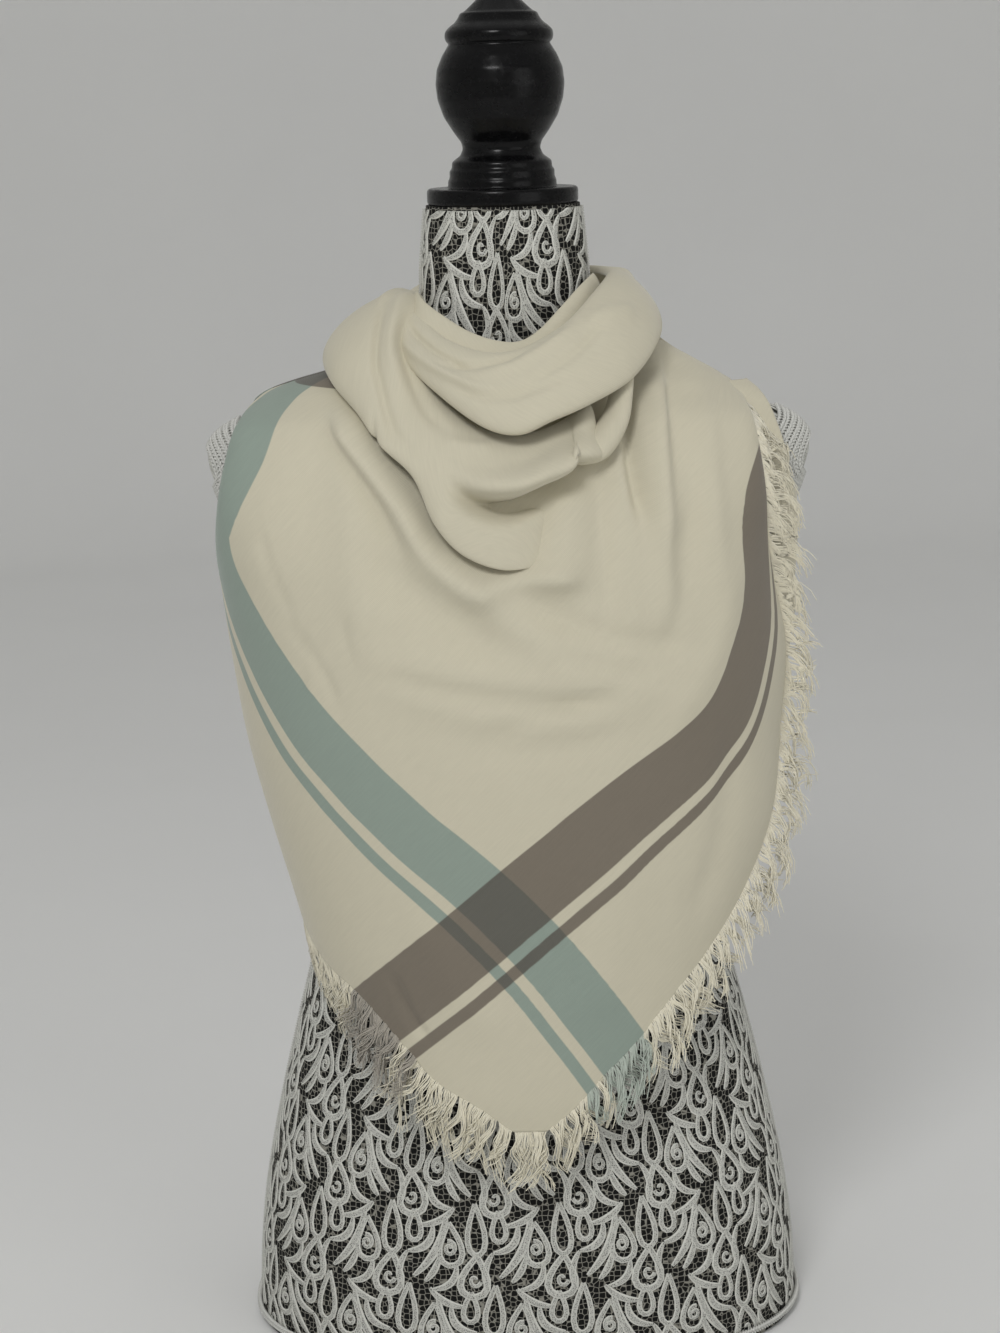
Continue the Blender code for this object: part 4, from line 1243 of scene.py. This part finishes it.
class SCARF_OT_front(bpy.types.Operator):
    """Makes the striped front drape that hangs to a corner"""
    bl_idname = "scarf.front"
    bl_label = "Front drape"

    def execute(self, context):
        grid, places = front_grid()
        piece = cloth_piece("scarf_front", grid, places, front_stripes(places),
                            FRONT_HEART, "front_drape")
        return {"FINISHED"}


class SCARF_OT_back(bpy.types.Operator):
    """Makes the cloth across the back and the layer in front of the right arm cap"""
    bl_idname = "scarf.back"
    bl_label = "Back and under layer"

    def execute(self, context):
        grid, places = back_grid()
        piece = cloth_piece("scarf_back", grid, places, back_stripes(places), BACK_HEART,
                            "back_wrap")
        grid, places, _ = drape_grid(UNDER_ROWS, UNDER_STEPS)
        piece = cloth_piece("scarf_right_under", grid, places, plain(places), BACK_HEART,
                            "right_under_layer")
        return {"FINISHED"}


class SCARF_OT_cowl(bpy.types.Operator):
    """Makes the rolled and folded stretches round the neck"""
    bl_idname = "scarf.cowl"
    bl_label = "Cowl"

    def execute(self, context):
        for name, replaced, rows, curl, steps, creases, flat, area in (
                ("scarf_top_roll", "top_roll", TOP_ROLL_ROWS, (20, 18), (200, 54),
                 TOP_ROLL_CREASES, (0.58, 0.06), 0.029),
                ("scarf_inner_collar", "inner_collar", INNER_COLLAR_ROWS, (0, 0),
                 (110, 24), (), (0.19, 0.022), 0.0036),
                ("scarf_cowl_drape", "cowl_drape", COWL_DRAPE_ROWS, (16, 25), (172, 152),
                 COWL_DRAPE_CREASES, (0.34, 0.16), 0.030),
                ("scarf_right_tuck", "right_tuck", RIGHT_TUCK_ROWS, (10, 20), (50, 40),
                 (), (0.075, 0.03), 0.0018)):
            closed = rows is TOP_ROLL_ROWS      # only the top roll runs all the way round
            along = (np.arange(steps[0]) * len(rows) / steps[0] if closed
                     else np.linspace(0, len(rows) - 1, steps[0]))
            grid = cowl_surface(rows, along, np.linspace(0, 1, steps[1]), curl, closed)
            weave = roll_places(grid, closed)
            spots = weave[:len(grid)]
            rise = crease_rise(spots[..., 0], spots[..., 1], creases, 0.3, 0.2)
            grid = grid + rise[..., None] * outward_normals(grid, COWL_HEART, closed)
            piece = cloth_piece(name, grid, weave, plain(weave), COWL_HEART, replaced,
                                closed)
        return {"FINISHED"}


class SCARF_OT_fringe(bpy.types.Operator):
    """Makes the frayed yarns along the cloth's edges"""
    bl_idname = "scarf.fringe"
    bl_label = "Fringe"

    def execute(self, context):
        grid, places = front_grid()
        stripes = front_stripes(places)
        brown_only, teal_only = stripes[:, 0].copy(), stripes[:, -1].copy()
        brown_only[:, 0] = teal_only[:, 1] = -1
        fringe_piece(FRINGE_LEFT, edge_frame(grid, 0, 1, FRONT_HEART), brown_only, 1, 11)
        fringe_piece(FRINGE_RIGHT, edge_frame(grid, -1, -1, FRONT_HEART), teal_only, 1, 12)
        lower = edge_frame(grid.transpose(1, 0, 2), 0, 1, FRONT_HEART)
        fringe_piece(FRINGE_CORNER, lower, stripes[0], 1, 14)
        grid, places = back_grid()
        lower = edge_frame(grid.transpose(1, 0, 2), 0, 1, FRONT_HEART)
        fringe_piece(FRINGE_BACK, lower, back_stripes(places)[0], 0, 13)
        return {"FINISHED"}


class SCARF_OT_form(bpy.types.Operator):
    """Makes the dress form's black cover with its lace"""
    bl_idname = "scarf.form"
    bl_label = "Dress form"

    def execute(self, context):
        share = np.linspace(0, 1, 161)[:-1]
        height = np.r_[np.linspace(0, 480, 70)[:-1], np.linspace(480, FORM_TOP, 70)]
        share, height = np.meshgrid(share, height)
        points = form_point(share, height)
        quads = grid_quads(*share.shape, column_loop=True)[:, ::-1]
        wide = np.concatenate([share, np.ones_like(share[:, :1])], axis=1)
        tall = np.concatenate([height, height[:, :1]], axis=1)
        girth = arc_lengths(np.concatenate([points, points[:, :1]], axis=1), 1)[:, -1:]
        place = np.stack([(wide - 0.75) * girth, tall], axis=2) * MM
        loose = grid_quads(*wide.shape)[:, ::-1]
        make_piece("form_cover", points, quads, "net_over_black_jersey",
                   {"cover": corner_values(place, loose)}, ["dress_form"])
        self.close_ends(points[0], points[-1])
        sizes = context.scene.scarf_sizes
        body = sizes.lace_repeats
        lace_piece("lace_below_scarf", body, 3, 432,
                   lambda x, y, z: (z < LACE_FRONT_TOP)
                   | ((y > LACE_PART_Y) & (z < LACE_BACK_TOP)))
        lace_piece("lace_on_shoulders", body, 470, 606,
                   lambda x, y, z: np.abs(x) > LACE_SHOULDER_X)
        lace_piece("lace_on_neck", sizes.neck_repeats, 590, 706, lambda x, y, z: z > 590)
        return {"FINISHED"}

    @staticmethod
    def close_ends(base, top):
        """The flat base and the neck's flat top, each one face round its rim."""
        count = len(base)
        faces = [list(range(count - 1, -1, -1)), list(range(count, 2 * count))]
        piece = add_mesh("form_ends", np.concatenate([base, top]) * MM, faces,
                         "net_over_black_jersey", smooth=False)
        piece.data.uv_layers.new(name="cover")
        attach(piece, "root")


class SCARF_OT_trims(bpy.types.Operator):
    """Makes the plaited braids and the twisted seam cords"""
    bl_idname = "scarf.trims"
    bl_label = "Braids and seam cords"

    def execute(self, context):
        sizes = context.scene.scarf_sizes
        pitch, gap = sizes.braid_pitch / MM, sizes.gimp_width / MM / (sizes.gimp_cords - 1)
        for name, side in (("armhole_braid_left", -1), ("armhole_braid_right", 1)):
            cords = [(*armhole_line(side, gap * k), GIMP_PITCH_SHARE * pitch * (-1) ** k)
                     for k in range(sizes.gimp_cords)]
            plied_cords("gimp_" + name, cords, True, GIMP_PLY, [name])
        plied_cords("plait_hem_braid", [(*hem_line(), pitch)], True, PLAIT_PLY,
                    ["hem_braid"])
        for name, share, low, high in SEAM_CORDS:
            height = np.linspace(low, high, int((high - low) / 0.7))
            turn = share + 0 * height
            out = form_out(turn, height)
            path = form_point(turn, height) + 0.9 * out
            plied_cords(name, [(path, out, SEAM_PITCH)], False, SEAM_PLY)
        return {"FINISHED"}


class SCARF_OT_cap(bpy.types.Operator):
    """Makes the turned disc and finial on the neck"""
    bl_idname = "scarf.cap"
    bl_label = "Turned cap"

    def execute(self, context):
        rows = np.array(CAP_ROWS)
        run = arc_lengths(rows)
        profile = columns_at(np.arange(0, run[-1], 0.8), run, rows)
        for _ in range(2):
            profile[1:-1] = (profile[:-2] + 2 * profile[1:-1] + profile[2:]) / 4
        points = turned_points(profile[:, 1], profile[:, 0])
        quads = grid_quads(len(profile), TURNED_SIDES, column_loop=True)[:, ::-1]
        make_piece("turned_cap", points, quads, "black_lacquered_wood",
                   replaces=["neck_disc", "finial"])
        return {"FINISHED"}


class SCARF_OT_studio(bpy.types.Operator):
    """Makes the paper sweep, the lights and the camera at the photo's angle"""
    bl_idname = "scarf.studio"
    bl_label = "Studio"

    def execute(self, context):
        self.sweep()
        self.lights(context.scene)
        self.camera(context.scene)
        return {"FINISHED"}

    @staticmethod
    def sweep():
        """A round floor that curves up into a wall all about: a quarter circle between
        the flat part's radius and the upright part, turned round the z axis."""
        bend = np.radians(np.linspace(0, 90, 16))
        radius = np.r_[0.001, 1.2, 2.4, SWEEP_FLAT + SWEEP_BEND * np.sin(bend),
                       SWEEP_FLAT + SWEEP_BEND]
        height = np.r_[0, 0, 0, SWEEP_BEND - SWEEP_BEND * np.cos(bend), SWEEP_TOP]
        quads = grid_quads(len(radius), TURNED_SIDES, column_loop=True)[:, ::-1]
        points = turned_points(radius, height - FLOOR_GAP)
        add_mesh("paper_sweep", points, quads.tolist(), "matt_grey_paper")

    @staticmethod
    def lights(scene):
        """Large soft sources: a key from the front left, a weaker fill and a top."""
        for name, place, size, power in LIGHTS:
            lamp = bpy.data.lights.new(name, "AREA")
            lamp.shape, lamp.size, lamp.energy = "DISK", size, power
            obj = bpy.data.objects.new(name, lamp)
            scene.collection.objects.link(obj)
            obj.location = place
            aim = Vector(LIGHTS_AIM) - obj.location
            obj.rotation_euler = aim.to_track_quat("-Z", "Y").to_euler()
        world = bpy.data.worlds.new("soft_room")
        scene.world = world
        world.use_nodes = True
        sky = world.node_tree.nodes["Background"]
        sky.inputs[0].default_value = (*linear(SKY_COLOUR), 1)
        sky.inputs[1].default_value = SKY_STRENGTH
        scene.view_settings.view_transform = "Standard"

    @staticmethod
    def camera(scene):
        """The photo's camera, above the form and tilted down."""
        lens = bpy.data.cameras.new("photo_camera")
        lens.sensor_width, lens.lens = 36.0, CAMERA_LENS
        obj = bpy.data.objects.new("photo_camera", lens)
        scene.collection.objects.link(obj)
        tilt, roll = np.radians(CAMERA_TILT_DEG), np.radians(CAMERA_ROLL_DEG)
        obj.matrix_world = (Matrix.Translation(CAMERA_PLACE)
                            @ Matrix.Rotation(np.pi / 2 - tilt, 4, "X")
                            @ Matrix.Rotation(-roll, 4, "Z"))
        scene.camera = obj


class SCARF_PT_panel(bpy.types.Panel):
    """Sizes, colours and steps of the scarf"""
    bl_label = "Blanket Scarf"
    bl_idname = "SCARF_PT_panel"
    bl_space_type = "VIEW_3D"
    bl_region_type = "UI"
    bl_category = "Scarf"

    def draw(self, context):
        for group in (context.scene.scarf_sizes, context.scene.scarf_colours):
            for name in group.__annotations__:
                self.layout.prop(group, name)
        for step in STEPS:
            self.layout.operator(step.bl_idname)


STEPS = (SCARF_OT_finishes, SCARF_OT_form, SCARF_OT_trims, SCARF_OT_cap, SCARF_OT_front,
         SCARF_OT_back, SCARF_OT_cowl, SCARF_OT_fringe, SCARF_OT_studio)
CLASSES = (ScarfSizes, ScarfColours, *STEPS, SCARF_PT_panel)


def register():
    for made in CLASSES:
        bpy.utils.register_class(made)
    bpy.types.Scene.scarf_sizes = bpy.props.PointerProperty(type=ScarfSizes)
    bpy.types.Scene.scarf_colours = bpy.props.PointerProperty(type=ScarfColours)


def unregister():
    del bpy.types.Scene.scarf_sizes, bpy.types.Scene.scarf_colours
    for made in reversed(CLASSES):
        bpy.utils.unregister_class(made)


def main():
    register()
    bpy.ops.scarf.finishes()
    bpy.ops.scarf.form()
    bpy.ops.scarf.trims()
    bpy.ops.scarf.cap()
    bpy.ops.scarf.front()
    bpy.ops.scarf.back()
    bpy.ops.scarf.cowl()
    bpy.ops.scarf.fringe()
    bpy.ops.scarf.studio()


if __name__ == "__main__":
    main()
